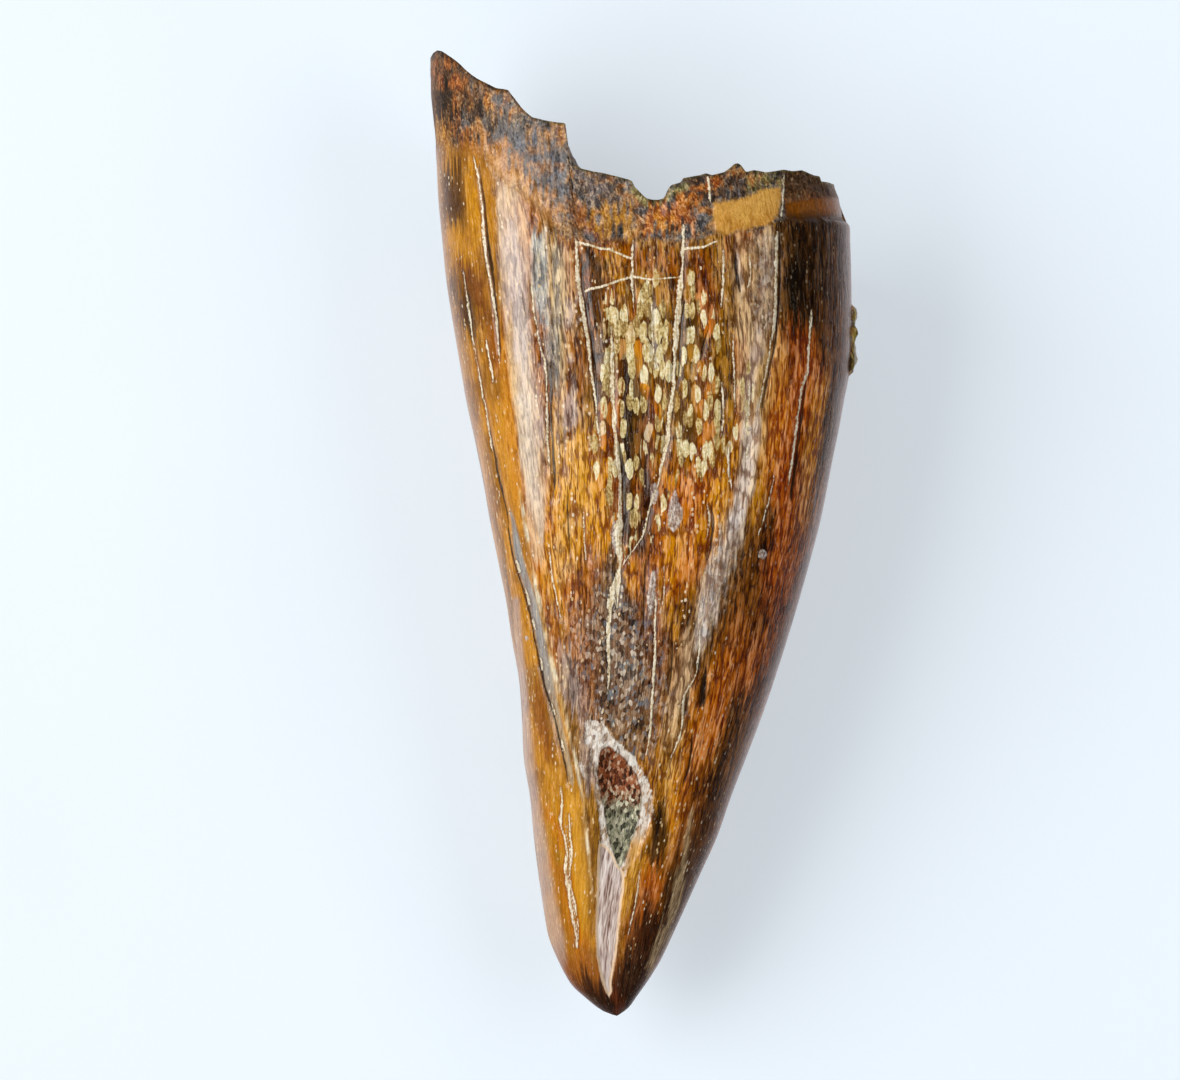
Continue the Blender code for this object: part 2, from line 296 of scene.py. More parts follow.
# Pale lengthwise cracks, filled with mineral: (y, x) and (y, half width).
PALE_CRACKS = [
    ([(560, 516), (575, 521), (590, 525.5), (612, 531.5), (640, 537), (670, 543), (700, 551), (730, 559), (760, 566)],
     [(556, 0), (563, 1.2), (572, 1.3), (576, 0), (588, 0), (592, 1.0), (604, 0.9), (607, 0), (616, 0), (622, 1.0), (630, 0.9),
      (634, 0), (656, 0), (660, 0.9), (668, 0.8), (672, 0), (700, 0), (706, 0.8), (714, 0.7), (717, 0), (738, 0), (742, 0.8),
      (752, 0.7), (755, 0)]),
    ([(556, 621), (575, 619.5), (596, 618), (612, 617)], [(554, 0), (562, 1.4), (586, 1.3), (604, 0.8), (614, 0)]),
    ([(236, 575.5), (260, 577), (280, 578), (296, 581), (320, 584.5), (342, 588), (362, 590), (384, 593),
      (404, 596), (422, 598), (446, 600)],
     [(234, 0), (240, 1.1), (262, 1.6), (300, 1.9), (330, 1.7), (360, 1.2), (400, 0.9), (436, 0.6), (452, 0)]),
    ([(225, 683.5), (245, 683), (268, 682), (290, 680), (310, 678.5), (335, 676), (355, 675), (372, 674),
      (388, 673), (402, 671.5), (420, 669), (440, 667.5), (454, 664.5), (468, 661), (484, 658.5), (500, 652),
      (516, 647.5), (532, 644), (545, 637), (556, 629), (566, 622), (572, 620)],
     [(222, 0), (230, 1.1), (262, 1.6), (300, 2.2), (340, 2.6), (362, 1.4), (390, 1.3), (410, 2.4), (436, 2.7),
      (456, 1.6), (478, 1.1), (500, 0.8), (530, 0.9), (548, 0.9), (566, 0.5), (572, 0)]),
    ([(230, 776.5), (250, 776.5), (280, 776), (300, 775.5), (322, 774.5), (342, 771), (362, 768), (382, 764),
      (400, 760.5), (418, 758)],
     [(228, 0), (236, 1.2), (260, 1.5), (290, 1.0), (312, 1.3), (345, 0.9), (372, 0.8), (400, 0.5), (416, 0)]),
    ([(320, 611), (350, 612), (390, 612.5), (420, 614), (445, 616), (470, 619), (490, 620.5), (520, 619.5),
      (545, 618.5), (565, 620), (580, 616), (600, 611), (622, 609), (645, 608), (662, 609), (680, 608.5),
      (698, 607)],
     [(322, 0), (334, 0.9), (352, 1.5), (385, 1.9), (420, 1.9), (450, 1.8), (478, 1.3), (500, 1.0), (518, 2.4),
      (530, 4.0), (548, 3.8), (560, 2.2), (575, 1.8), (592, 3.0), (610, 2.6), (632, 2.0), (652, 1.4), (680, 0.8), (698, 0)]),
    ([(306, 811), (330, 810), (352, 808), (370, 807.5), (386, 802.5), (404, 799.5), (420, 797), (438, 795),
      (456, 792.5), (472, 790.5), (490, 788)],
     [(304, 0), (312, 0.7), (350, 1.0), (384, 1.2), (420, 1.0), (452, 1.1), (478, 0.8), (490, 0)]),
    ([(250, 723.5), (280, 723.5), (300, 721.5), (314, 721)],
     [(248, 0), (256, 0.9), (290, 1.1), (312, 0)]),
    ([(376, 722), (388, 722.5), (420, 723), (440, 720)],
     [(376, 0), (388, 0.8), (424, 1.0), (440, 0)]),
    ([(592, 655.5), (640, 655), (662, 654.5), (684, 653), (704, 652), (722, 651), (740, 649), (758, 645)],
     [(590, 0), (604, 0.6), (640, 0.9), (670, 1.5), (700, 1.3), (730, 1.2), (750, 0.9), (760, 0)]),
    ([(150, 472), (170, 477), (190, 480.5), (210, 482.5), (235, 484), (258, 486.5), (278, 489.5), (300, 493.5),
      (322, 496.5), (350, 499), (372, 500)],
     [(150, 0), (160, 0.7), (200, 0.9), (236, 1.1), (262, 0.8), (296, 1.1), (322, 1.0), (346, 0.6), (366, 0)]),
    ([(266, 462.5), (292, 466), (314, 469.5), (330, 471.5), (352, 475), (391, 482.5), (420, 487.5), (452, 492.5)],
     [(262, 0), (282, 0.5), (312, 0.9), (334, 0.7), (352, 0.3), (398, 0.6), (446, 0.7), (456, 0)]),
    ([(338, 485.5), (356, 489), (372, 492), (390, 495)],
     [(336, 0), (346, 0.8), (372, 0.8), (388, 0)]),
    ([(284, 531.5), (310, 533.5), (322, 536), (346, 540), (364, 545), (400, 547), (430, 547.5), (470, 549.5)],
     [(282, 0), (292, 0.8), (312, 0.6), (340, 0.7), (362, 1.0), (400, 0.7), (430, 1.0), (462, 1.0), (472, 0)]),
    ([(786, 560.5), (804, 562), (824, 560.5), (836, 564), (852, 567), (870, 565.5), (890, 568), (914, 572),
      (930, 575), (948, 577)],
     [(784, 0), (794, 0.8), (815, 1.1), (838, 0.7), (862, 1.6), (884, 1.5), (905, 1.2), (926, 0.9), (944, 1.0), (950, 0)]),
    ([(812, 569), (835, 570), (852, 572), (872, 570), (888, 571), (902, 574.5), (924, 577.5), (942, 578)],
     [(808, 0), (826, 0.9), (850, 1.0), (872, 0.9), (892, 0.5), (908, 0.9), (930, 0.5), (942, 0)]),
    ([(176, 708), (190, 709.5), (202, 710.5)], [(174, 0), (180, 1.2), (200, 1.1), (204, 0)]),
    ([(172, 784), (196, 783), (220, 780.5)], [(172, 0), (178, 1.0), (215, 0.7), (224, 0)]),
    ([(238, 633), (262, 632.5), (277, 632.5), (316, 634)], [(236, 0), (246, 0.9), (276, 1.2), (300, 0.5), (316, 0)]),
    ([(252, 749), (276, 750), (292, 747)], [(252, 0), (268, 0.7), (284, 0.6), (292, 0)]),
    ([(386, 750), (400, 749.5), (416, 749)], [(382, 0), (390, 0.8), (412, 0.7), (418, 0)]),
    ([(440, 747.5), (452, 747), (460, 747)], [(442, 0), (449, 1.3), (456, 1.0), (461, 0)]),
    ([(440, 729), (466, 728.5), (486, 731)], [(436, 0), (456, 0.8), (480, 0.9), (490, 0)]),
    ([(506, 708), (520, 709), (545, 706)], [(502, 0), (514, 1.1), (524, 0.7), (546, 0)]),
    ([(660, 699), (676, 695), (692, 686), (706, 683), (730, 681), (745, 676), (760, 670)],
     [(656, 0), (670, 0.7), (700, 1.0), (724, 0.9), (744, 0.7), (762, 0)]),
    ([(500, 583), (530, 584), (562, 586)], [(500, 0), (520, 0.6), (552, 0.6), (564, 0)]),
    ([(630, 700), (650, 699), (664, 697)], [(626, 0), (642, 0.9), (656, 0.6), (666, 0)]),
    ([(754, 607.5), (766, 607.5), (776, 606.5)], [(750, 0), (758, 0.6), (770, 0.6), (778, 0)]),
    ([(300, 652), (340, 653), (372, 656)], [(296, 0), (320, 0.5), (352, 0.6), (374, 0)]),
    ([(330, 733), (372, 734), (410, 735)], [(326, 0), (350, 0.6), (392, 0.6), (412, 0)]),
    ([(470, 775), (500, 769), (540, 757)], [(466, 0), (490, 0.4), (520, 0.5), (542, 0)]),
    ([(560, 664), (590, 664), (612, 662)], [(556, 0), (572, 0.4), (600, 0.5), (614, 0)]),
    ([(546, 549), (580, 553), (622, 562)], [(540, 0), (560, 0.5), (602, 0.6), (624, 0)]),
    ([(870, 640), (900, 636), (940, 627)], [(866, 0), (884, 0.6), (920, 0.5), (942, 0)]),
    ([(840, 600), (862, 602), (880, 603)], [(836, 0), (850, 0.7), (870, 0.7), (884, 0)]),
]
DARK_CRACKS = [
    ([(160, 478.5), (200, 484), (236, 487.5), (260, 490.5), (280, 493.5), (306, 496), (330, 498.5), (352, 501)],
     [(158, 0), (180, 0.8), (262, 1.6), (300, 1.1), (345, 0.9), (358, 0)]),
    ([(400, 483.5), (430, 489.5), (455, 495), (475, 498.5), (495, 503), (512, 507), (530, 510)],
     [(396, 0), (420, 0.5), (455, 0.8), (484, 1.1), (506, 0.7), (530, 0)]),
    ([(366, 550.5), (390, 551), (420, 551.5), (450, 553), (480, 555), (500, 553)],
     [(360, 0), (374, 1.5), (396, 1.1), (440, 0.7), (478, 1.2), (502, 0)]),
    ([(256, 581.5), (290, 583.5), (320, 589), (345, 592.5), (370, 596)],
     [(250, 0), (270, 1.4), (300, 1.1), (340, 1.5), (372, 0)]),
    ([(300, 684.5), (330, 681.5), (360, 680), (385, 678)], [(296, 0), (312, 1.0), (350, 1.2), (386, 0)]),
    ([(380, 806), (400, 803), (430, 799.5), (452, 796.5), (472, 794), (500, 791)],
     [(376, 0), (390, 1.5), (430, 1.4), (462, 1.9), (494, 1.1), (506, 0)]),
    ([(445, 619.5), (470, 623), (490, 624.5), (520, 624), (545, 622.5)],
     [(440, 0), (456, 1.5), (490, 2.0), (520, 1.6), (546, 0)]),
    ([(524, 508), (545, 511), (560, 514), (574, 518), (590, 523.5), (610, 529), (630, 533), (650, 537), (670, 541),
      (690, 545.5), (706, 551), (724, 556), (742, 560), (762, 564.5), (782, 568)],
     [(520, 0), (540, 0.8), (562, 0.5), (582, 0.9), (606, 1.1), (626, 0.6), (650, 1.0), (684, 1.2), (710, 0.8),
      (740, 0.8), (766, 0.8), (786, 0)]),
    ([(666, 706), (684, 703.5), (700, 701.5), (708, 700)], [(662, 0), (676, 1.8), (698, 3.0), (710, 0)]),
    ([(486, 568), (520, 568), (552, 570)], [(484, 0), (510, 0.7), (548, 0.7), (556, 0)]),
    ([(330, 708), (346, 703), (362, 700)], [(328, 0), (340, 0.9), (356, 0.8), (364, 0)]),
    ([(250, 735), (270, 736), (292, 740)], [(250, 0), (262, 1.1), (286, 1.3), (296, 0)]),
    ([(505, 711), (525, 713), (548, 710.5), (562, 707)], [(500, 0), (520, 1.4), (545, 1.1), (564, 0)]),
    ([(690, 690), (706, 686.5), (716, 683.5)], [(686, 0), (700, 0.8), (714, 0.7), (718, 0)]),
    ([(735, 692), (760, 690), (784, 683)], [(732, 0), (752, 1.1), (776, 1.1), (788, 0)]),
    ([(176, 570), (186, 572), (196, 572)], [(172, 0), (182, 1.1), (190, 0.9), (198, 0)]),
    ([(232, 779.5), (262, 780), (300, 779), (340, 775), (380, 767.5), (414, 761)],
     [(228, 0), (244, 0.9), (300, 1.0), (350, 0.9), (390, 0.7), (416, 0)]),
    ([(560, 646), (600, 644), (640, 643)], [(556, 0), (580, 0.8), (620, 0.7), (642, 0)]),
    ([(620, 672), (660, 672), (700, 668)], [(616, 0), (640, 0.7), (680, 0.8), (702, 0)]),
    ([(719, 580), (717.5, 586), (718, 592)], [(712, 0), (719, 1.2), (726, 0)]),
]


def nearest(cracks, reach=3.5):
    """Signed offset from the nearest line and that line's half width."""
    offset = np.full(PY.shape, 12.0)
    width = np.full(PY.shape, -5.0)
    score = np.full(PY.shape, 1e9)
    for n, (path, widths) in enumerate(cracks):
        wobble = 1.6 * (layered(PYF / 11.0, 0.5 + n, 0, 40 + n, 3) - 0.5)
        x = curve(path, PYF) + wobble
        w = line(widths, PYF)
        w = w * (0.45 + 1.1 * layered(PYF / 7.0, 9.5 + n, 0, 70 + n, 2))
        d = PXF - x
        live = (w > 0.12) & FACE & (np.abs(d) < w + reach)
        s = np.abs(d) - w
        take = live & (s < score)
        offset = np.where(take, d, offset)
        width = np.where(take, w, width)
        score = np.where(take, s, score)
    return offset, width


pale_off, pale_w = nearest(PALE_CRACKS)
dark_off, dark_w = nearest(DARK_CRACKS)
near_pale = 1 - step(0.5, 4.5, np.abs(pale_off) - np.maximum(pale_w, 0))
near_pale = np.where(pale_w > 0, near_pale, 0)

# Fine cracks that run across: signed offsets, with their half widths.
cross_a = PYF - np.where(PXF < 660, line([(576, 242), (590, 245), (600, 248.5), (609, 249), (620, 254), (634, 259.5)], PXF),
                         line([(682, 248.5), (694, 248), (704, 247), (712, 243), (720, 240)], PXF))
cross_wa = line([(573, -3), (576, 1.2), (632, 1.1), (636, -3), (680, -3), (684, 1.3), (700, 1.1), (716, 0.7), (722, -3)], PXF)
cross_b = PYF - line([(583, 292), (590, 289), (600, 287), (612, 283), (622, 279.5), (633, 276.5), (642, 278),
                      (652, 279.5), (666, 278), (681, 277)], PXF)
cross_wb = line([(581, -3), (585, 1.1), (632, 1.1), (650, 0.7), (678, 0.6), (684, -3)], PXF)
cross_wa = np.where((FRONT > 0.5) & (PYF < 320), cross_wa, -3.0)
cross_wb = np.where((FRONT > 0.5) & (PYF < 340), cross_wb, -3.0)

CHIP = [(598, 756), (602, 748), (609, 745), (617, 752), (624, 758), (631, 766), (637, 775), (641, 787), (642, 802),
        (640, 818), (636, 830), (631, 843), (627, 855), (623, 864), (619, 868), (615, 860), (611, 850), (608, 838),
        (605, 822), (602.5, 806), (599, 792), (597, 776)]
RIM = [(584, 721), (590, 718.5), (598, 720), (604, 723), (611, 733), (618, 742), (628, 750), (636, 759), (643, 770),
       (649, 782), (652.5, 796), (653.5, 810), (652, 822), (647, 836), (640, 850), (633, 863), (627.5, 875), (623, 886),
       (614, 890), (606, 880), (602, 858), (599.5, 836), (598, 812), (596, 790), (594, 770), (590, 752), (584, 738)]
FACET = [(599, 842), (606, 846), (612, 852), (618, 866), (624, 872), (624, 890), (621.5, 905), (620, 920), (618.5, 935),
         (617, 950), (614.5, 966), (611.5, 980), (612, 992), (609, 998), (604.5, 990), (600.5, 976), (596.5, 958),
         (595.5, 930), (596.5, 905), (597, 880), (597.5, 858)]
ragged = 1.6 * (layered(PXF / 4.0, PYF / 5.0, 0, 31, 3) - 0.5) * 2
chip = polygon(CHIP) + 0.8 * ragged
rim_d = polygon(RIM) + 1.5 * ragged
facet = polygon(FACET) + 0.35 * ragged
chip, rim_d, facet = (np.where(FRONT > 0.5, f, -60.0) for f in (chip, rim_d, facet))

crest_x = curve(CREST, PYF)
crest2_x = curve(CREST2, PYF)
from_crest = PXF - crest_x
from_crest2 = PXF - crest2_x
wall_half = line([(498, -4), (515, 1.6), (545, 3.8), (600, 4.4), (660, 5.2), (700, 4.6), (740, 3.6), (780, 2.6), (800, -4)], PYF)
wall_mid = curve([(500, 507), (520, 513), (560, 520), (600, 532), (640, 541), (680, 548.5), (720, 557.5),
                  (760, 567.5), (800, 575)], PYF)
wall = np.where((FRONT > 0.5) & (PYF > 498) & (PYF < 800), wall_half - np.abs(PXF - wall_mid), -20.0)

edge_y = line(ENAMEL_EDGE, PXF) + 4.0 * (layered(PXF / 9.0, PYF / 30.0, 0, 7) - 0.5) * 2
bare_top = edge_y - PYF
side = step(-0.25, 0.1, S)
bare_under = 262 + 10 * (layered(PX / 16.0, 2.2, 0, 9) - 0.5) * 2 - PY
bare_side = (np.where(C < 0, 150.0 + (1 - side) * 85, 223.0 + (1 - side) * 34) - PY
             + 4 * (layered(S * 6, PY / 14, 0, 10) - 0.5))
bare = np.where(S > 0, bare_top, bare_under)
bare = bare + (bare_side - bare) * step(0.86, 0.93, np.abs(C))

smooth_spot = np.maximum.reduce([
    polygon([(713, 203), (722, 201), (735, 200), (748, 197), (760, 190), (772, 188), (781, 187), (780, 205), (778, 216),
             (770, 224), (752, 228), (738, 231), (722, 236), (715, 230), (713, 216)]),
    polygon([(785, 202), (800, 200), (820, 198), (842, 198), (845, 216), (830, 219), (800, 221), (785, 222)]),
])
smooth_spot = np.where(FRONT > 0.5, smooth_spot + 0.7 * ragged, -30.0)
spot = np.maximum.reduce([
    polygon([(675, 484), (680, 500), (684, 514), (681, 527), (673, 534), (667, 526), (667, 512), (670, 499)]) - 1,
    polygon([(613, 520), (620, 522), (621, 545), (620, 563), (614, 551), (610.5, 534)]),
    polygon([(650, 572), (656, 568), (656.5, 590), (653, 617), (648, 617), (646, 597)]) - 1,
    polygon([(649, 484), (658, 481), (660, 494), (655, 507), (650, 503)]) - 1,
    polygon([(597, 676), (604, 674), (605, 683), (598, 682)]) - 1,
    4.6 - np.hypot(PXF - 762, PYF - 554.5),
    2.4 - np.hypot(PXF - 749, PYF - 429),
    2.6 - np.hypot(PXF - 526.5, PYF - 638.5),
    polygon([(577, 760), (582, 761), (586, 772), (587, 781), (583, 780), (579, 771)]) - 0.8,
])
spot = np.where(FRONT > 0.5, spot + 0.8 * ragged, -30.0)


# ------------------------------------------------------------ broad colouring
def lin(r, g, b):
    out = []
    for v in (r, g, b):
        v = v / 255
        out.append(v / 12.92 if v <= 0.04045 else ((v + 0.055) / 1.055) ** 2.4)
    return (*out, 1.0)


OCHRE, AMBER, ORANGE = lin(188, 132, 36), lin(208, 144, 28), lin(192, 108, 8)
RUST, CHESTNUT, UMBER = lin(138, 68, 10), lin(116, 72, 18), lin(74, 44, 12)
PITCH, PLUM, MUD = lin(30, 17, 5), lin(88, 58, 38), lin(112, 82, 46)
# the milky pale in this row is the colour of the painted highlights on the shoulders
PEACH, LILAC, MILK_SHEEN = lin(214, 184, 150), lin(192, 178, 176), lin(220, 204, 188)
SLATE, STEEL, CREAM = lin(100, 100, 104), lin(150, 152, 150), lin(222, 208, 146)
IVORY, OLIVE, SAND = lin(236, 226, 200), lin(140, 132, 76), lin(200, 160, 98)
GOLD, TAN, HONEY = lin(206, 150, 56), lin(168, 120, 62), lin(216, 158, 58)

pigment = np.zeros(PY.shape + (3,))
pigment[:] = CHESTNUT[:3]


def paint(colour, mask, strength=1.0):
    global pigment
    m = np.clip(mask * strength, 0, 1)[..., None]
    pigment = pigment + (np.array(colour[:3]) - pigment) * m


broad = layered(PXF / 26.0, PYF / 120.0, 0, 24, 3)
patchy = layered(PXF / 11.0, PYF / 26.0, 0, 25, 3)
flank_l = 1 - step(-5, 2, from_crest)
flank_r = step(-3, 5, from_crest2) * (1 - step(560, 720, PYF))
face = (1 - flank_l) * (1 - flank_r)
# the face, from base to tip
paint(ORANGE, face * step(0.42, 0.62, broad), 0.55)
paint(UMBER, face * step(0.56, 0.70, 1 - broad), 0.5)
paint(OCHRE, face * (1 - step(0.42, 0.6, broad)) * (1 - step(400, 480, PYF)), 0.45)
paint(ORANGE, face * step(420, 500, PYF) * (1 - step(560, 620, PYF)), 0.7)
paint(AMBER, face * step(400, 500, PYF) * (1 - step(560, 620, PYF)) * step(0.44, 0.6, patchy), 0.6)
paint(AMBER, stroke([(580, 455, 22), (578, 500, 22), (572, 545, 14), (560, 590, 12)]), 0.85)
paint(AMBER, stroke([(598, 500, 14), (600, 545, 12)]), 0.6)
paint(HONEY, stroke([(576, 456, 16), (574, 500, 18), (564, 545, 14), (554, 580, 10)]), 0.6)
paint(AMBER, stroke([(560, 560, 16), (566, 600, 16), (574, 640, 10)]), 0.6)
paint(PEACH, stroke([(562, 520, 10), (566, 570, 11), (572, 620, 9)]) * step(0.42, 0.58, patchy), 0.4)
paint(ORANGE, stroke([(690, 480, 14), (682, 520, 22), (672, 565, 18), (662, 600, 12)]), 0.9)
paint(AMBER, stroke([(676, 530, 12), (668, 575, 9)]), 0.6)
paint(RUST, stroke([(646, 425, 8), (648, 460, 8), (650, 535, 10), (646, 560, 11)]), 0.8)
paint(RUST, stroke([(700, 256, 11), (706, 300, 11), (708, 330, 7)]), 0.85)
paint(ORANGE, stroke([(702, 300, 7), (706, 326, 6)]), 0.8)
paint(RUST, stroke([(640, 250, 10), (650, 262, 12), (668, 256, 8)]), 0.7)
paint(OCHRE, stroke([(608, 256, 10), (620, 300, 6), (626, 316, 5)]), 0.8)
paint(RUST, stroke([(594, 294, 7), (592, 320, 6)]), 0.8)
paint(CHESTNUT, stroke([(660, 330, 14), (664, 400, 12)]), 0.6)
paint(OCHRE, stroke([(630, 345, 7), (648, 380, 7)]), 0.5)
paint(ORANGE, stroke([(650, 384, 6), (656, 420, 6)]), 0.7)
paint(AMBER, stroke([(648, 372, 6), (662, 404, 7)]), 0.6)
paint(AMBER, stroke([(735, 420, 10), (728, 470, 11), (716, 510, 11), (704, 540, 9)]), 0.65)
paint(ORANGE, stroke([(704, 370, 9), (706, 410, 10), (700, 450, 9)]), 0.55)
paint(ORANGE, stroke([(742, 350, 9), (744, 400, 8), (740, 440, 8)]), 0.6)
paint(PLUM, stroke([(736, 262, 8), (738, 300, 7)]), 0.5)
paint(PITCH, stroke([(736, 262, 3), (740, 290, 3)]), 0.5)
# dark places of the face
paint(PITCH, stroke([(588, 258, 7), (600, 272, 9), (598, 288, 7)]), 0.85)
paint(UMBER, stroke([(596, 300, 9), (600, 330, 7), (604, 352, 5)]), 0.7)
paint(PITCH, stroke([(592, 300, 4), (595, 320, 4)]), 0.7)
paint(UMBER, stroke([(597, 352, 6), (600, 400, 5)]), 0.7)
paint(PITCH, stroke([(628, 366, 8), (631, 400, 8), (629, 440, 7), (628, 500, 6), (627, 545, 4)], 0.5), 0.85)
paint(UMBER, stroke([(640, 390, 5), (643, 440, 6), (646, 500, 8), (640, 548, 8)]), 0.65)
paint(UMBER, stroke([(655, 372, 6), (652, 412, 5)]), 0.4)
paint(PITCH, stroke([(650, 258, 3), (668, 268, 4), (676, 292, 4)]), 0.5)
paint(PITCH, stroke([(690, 320, 5), (685, 345, 5)]), 0.6)
paint(UMBER, stroke([(560, 346, 5), (562, 376, 5)]), 0.55)
paint(UMBER, stroke([(690, 430, 5), (688, 470, 5)]), 0.4)
paint(MUD, stroke([(612, 560, 8), (606, 600, 14), (612, 640, 26), (622, 680, 28), (630, 715, 24), (634, 742, 16)], 0.5), 0.85)
paint(PLUM, stroke([(620, 600, 14), (622, 650, 22), (620, 690, 22), (624, 724, 18)], 0.5), 0.8)
paint(PITCH, stroke([(608, 690, 7), (613, 712, 10), (628, 718, 6)]), 0.7)
paint(PITCH, stroke([(612, 705, 5), (640, 720, 3)]), 0.4)
paint(STEEL, stroke([(604, 652, 6), (628, 664, 7), (632, 690, 6)]), 0.45)
paint(RUST, stroke([(588, 560, 10), (590, 600, 12), (582, 640, 14), (590, 680, 10)]), 0.6)
paint(lin(112, 60, 34), stroke([(574, 620, 8), (584, 660, 12), (596, 700, 12)]) * step(0.44, 0.58, 1 - patchy), 0.6)
paint(ORANGE, stroke([(570, 590, 8), (574, 630, 8), (582, 660, 8)]), 0.65)
paint(RUST, stroke([(660, 600, 12), (668, 640, 14), (670, 690, 12)]), 0.7)
paint(AMBER, stroke([(664, 588, 7), (672, 626, 8)]), 0.6)
# tan and peach down the lower right shoulder: pale enamel with painted highlight, continuing the right shoulder's band
paint(TAN, stroke([(682, 650, 12), (676, 690, 13), (672, 730, 10), (668, 760, 7)]), 0.8)
paint(PEACH, stroke([(690, 644, 8), (682, 684, 8), (674, 722, 7), (668, 742, 5)]), 0.6)
# the lower crown
lower = step(690, 760, PYF)
paint(OCHRE, lower * step(-2, 4, from_crest), 0.5)
paint(lin(196, 122, 26), stroke([(726, 640, 12), (716, 690, 14), (698, 740, 15), (684, 790, 15), (674, 840, 12)]), 0.8)
paint(ORANGE, stroke([(740, 620, 10), (728, 690, 10), (708, 750, 10)]), 0.5)
paint(HONEY, stroke([(672, 770, 9), (672, 820, 8), (664, 850, 6)]), 0.6)
paint(ORANGE, stroke([(650, 880, 14), (642, 910, 14), (634, 940, 9)]), 0.9)
paint(HONEY, stroke([(640, 862, 8), (632, 882, 7), (624, 905, 6)]), 0.7)
paint(lin(104, 56, 14), stroke([(706, 780, 14), (694, 840, 17), (676, 900, 18), (654, 955, 18)]), 0.75)
paint(PITCH, stroke([(660, 808, 7), (660, 842, 8), (655, 858, 8)], 0.5), 0.85)
paint(PITCH, stroke([(700, 668, 4), (705, 700, 4)]), 0.8)
paint(UMBER, stroke([(714, 632, 7), (706, 656, 6)]), 0.5)
paint(UMBER, stroke([(744, 690, 7), (732, 730, 9), (716, 780, 9), (704, 820, 6)]), 0.65)
paint(PITCH, stroke([(738, 716, 4), (716, 776, 4)]), 0.5)
paint(UMBER, stroke([(690, 858, 12), (676, 900, 14), (656, 945, 18), (640, 975, 20)]), 0.85)
paint(PITCH, stroke([(664, 930, 9), (648, 962, 12), (636, 990, 16)]), 0.55)
# right flank
paint(CHESTNUT, flank_r, 0.7)
paint(PITCH, stroke([(814, 232, 34), (816, 262, 34), (808, 292, 30)], 0.5), 0.85)
paint(UMBER, stroke([(838, 236, 12), (842, 300, 12), (840, 350, 12), (834, 420, 12), (826, 470, 10)]), 0.75)
paint(PITCH, stroke([(796, 262, 8), (797, 300, 9), (800, 325, 7)]), 0.95)
paint(UMBER, stroke([(816, 320, 18), (818, 350, 12)]), 0.7)
paint(RUST, stroke([(790, 334, 12), (788, 380, 14), (780, 430, 14), (772, 480, 14)]), 0.8)
paint(ORANGE, stroke([(806, 340, 10), (812, 372, 12), (808, 410, 11)]), 0.65)
paint(AMBER, stroke([(774, 396, 9), (770, 440, 10), (762, 480, 9), (752, 520, 7)]), 0.7)
paint(ORANGE, stroke([(802, 372, 9), (796, 420, 12), (788, 460, 11), (780, 500, 10)]), 0.7)
paint(AMBER, stroke([(820, 388, 7), (815, 430, 8), (806, 480, 8), (796, 530, 7)]), 0.6)
paint(PITCH, stroke([(836, 388, 5), (830, 430, 5), (820, 470, 4)]), 0.5)
paint(RUST, stroke([(798, 478, 10), (790, 520, 14), (780, 560, 14), (766, 610, 10)]), 0.7)
paint(ORANGE, stroke([(788, 500, 8), (782, 540, 8), (772, 580, 7)]), 0.6)
paint(UMBER, stroke([(770, 520, 6), (766, 548, 7), (757, 576, 5)]), 0.6)
paint(lin(176, 88, 10), stroke([(786, 470, 10), (780, 520, 11), (770, 570, 9)]) * step(0.36, 0.52, broad), 0.7)
paint(PITCH, stroke([(767, 534, 4), (764, 552, 5)]), 0.4)
paint(RUST, stroke([(800, 545, 10), (786, 600, 10), (770, 650, 9), (756, 700, 8)]), 0.6)
paint(UMBER, stroke([(806, 560, 5), (792, 610, 5), (776, 660, 5), (758, 715, 5), (738, 775, 5), (716, 830, 5), (690, 890, 5)]), 0.7)
paint(ORANGE, stroke([(760, 640, 8), (744, 680, 8)]), 0.5)
paint(UMBER, stroke([(764, 670, 6), (752, 700, 8), (738, 742, 9), (722, 790, 10), (706, 830, 10), (686, 880, 10), (668, 920, 10), (650, 960, 9)]), 0.75)
# left flank
paint(lin(190, 128, 44), flank_l, 0.94)
paint(lin(210, 144, 56), flank_l * step(370, 450, PYF) * (1 - step(520, 620, PYF)), 0.6)
paint(AMBER, flank_l * step(0.45, 0.6, patchy), 0.35)
paint(CHESTNUT, flank_l * step(0.52, 0.66, 1 - patchy), 0.45)
paint(CHESTNUT, flank_l * (1 - step(300, 380, PYF)), 0.16)
paint(UMBER, stroke([(452, 176, 12), (454, 200, 12), (455, 222, 9)], 0.5), 0.85)
paint(PLUM, stroke([(450, 190, 7), (452, 214, 7)], 0.5), 0.6)
paint(AMBER, stroke([(452, 234, 9), (458, 256, 9)]), 0.5)
paint(AMBER, stroke([(468, 172, 5), (474, 210, 5), (476, 240, 5)]), 0.5)
paint(lin(112, 58, 22), stroke([(464, 268, 9), (474, 284, 10), (482, 308, 9)]), 0.85)
paint(UMBER, stroke([(454, 286, 6), (462, 300, 8), (470, 318, 7)]), 0.7)
paint(UMBER, stroke([(464, 300, 8), (468, 325, 8), (476, 338, 6)]), 0.65)
paint(RUST, stroke([(492, 322, 6), (494, 350, 6), (498, 374, 5)]), 0.75)
paint(UMBER, stroke([(448, 250, 4), (454, 300, 4), (464, 350, 4), (478, 420, 4), (492, 490, 4)], exact=True), 0.22)
paint(lin(206, 136, 40), stroke([(503, 336, 5), (508, 380, 6), (513, 440, 6), (517, 500, 4)]), 0.8)
paint(CHESTNUT, stroke([(488, 440, 5), (496, 476, 5), (503, 510, 4)]), 0.6)
paint(UMBER, stroke([(496, 520, 3), (506, 575, 3), (514, 625, 3)]), 0.6)
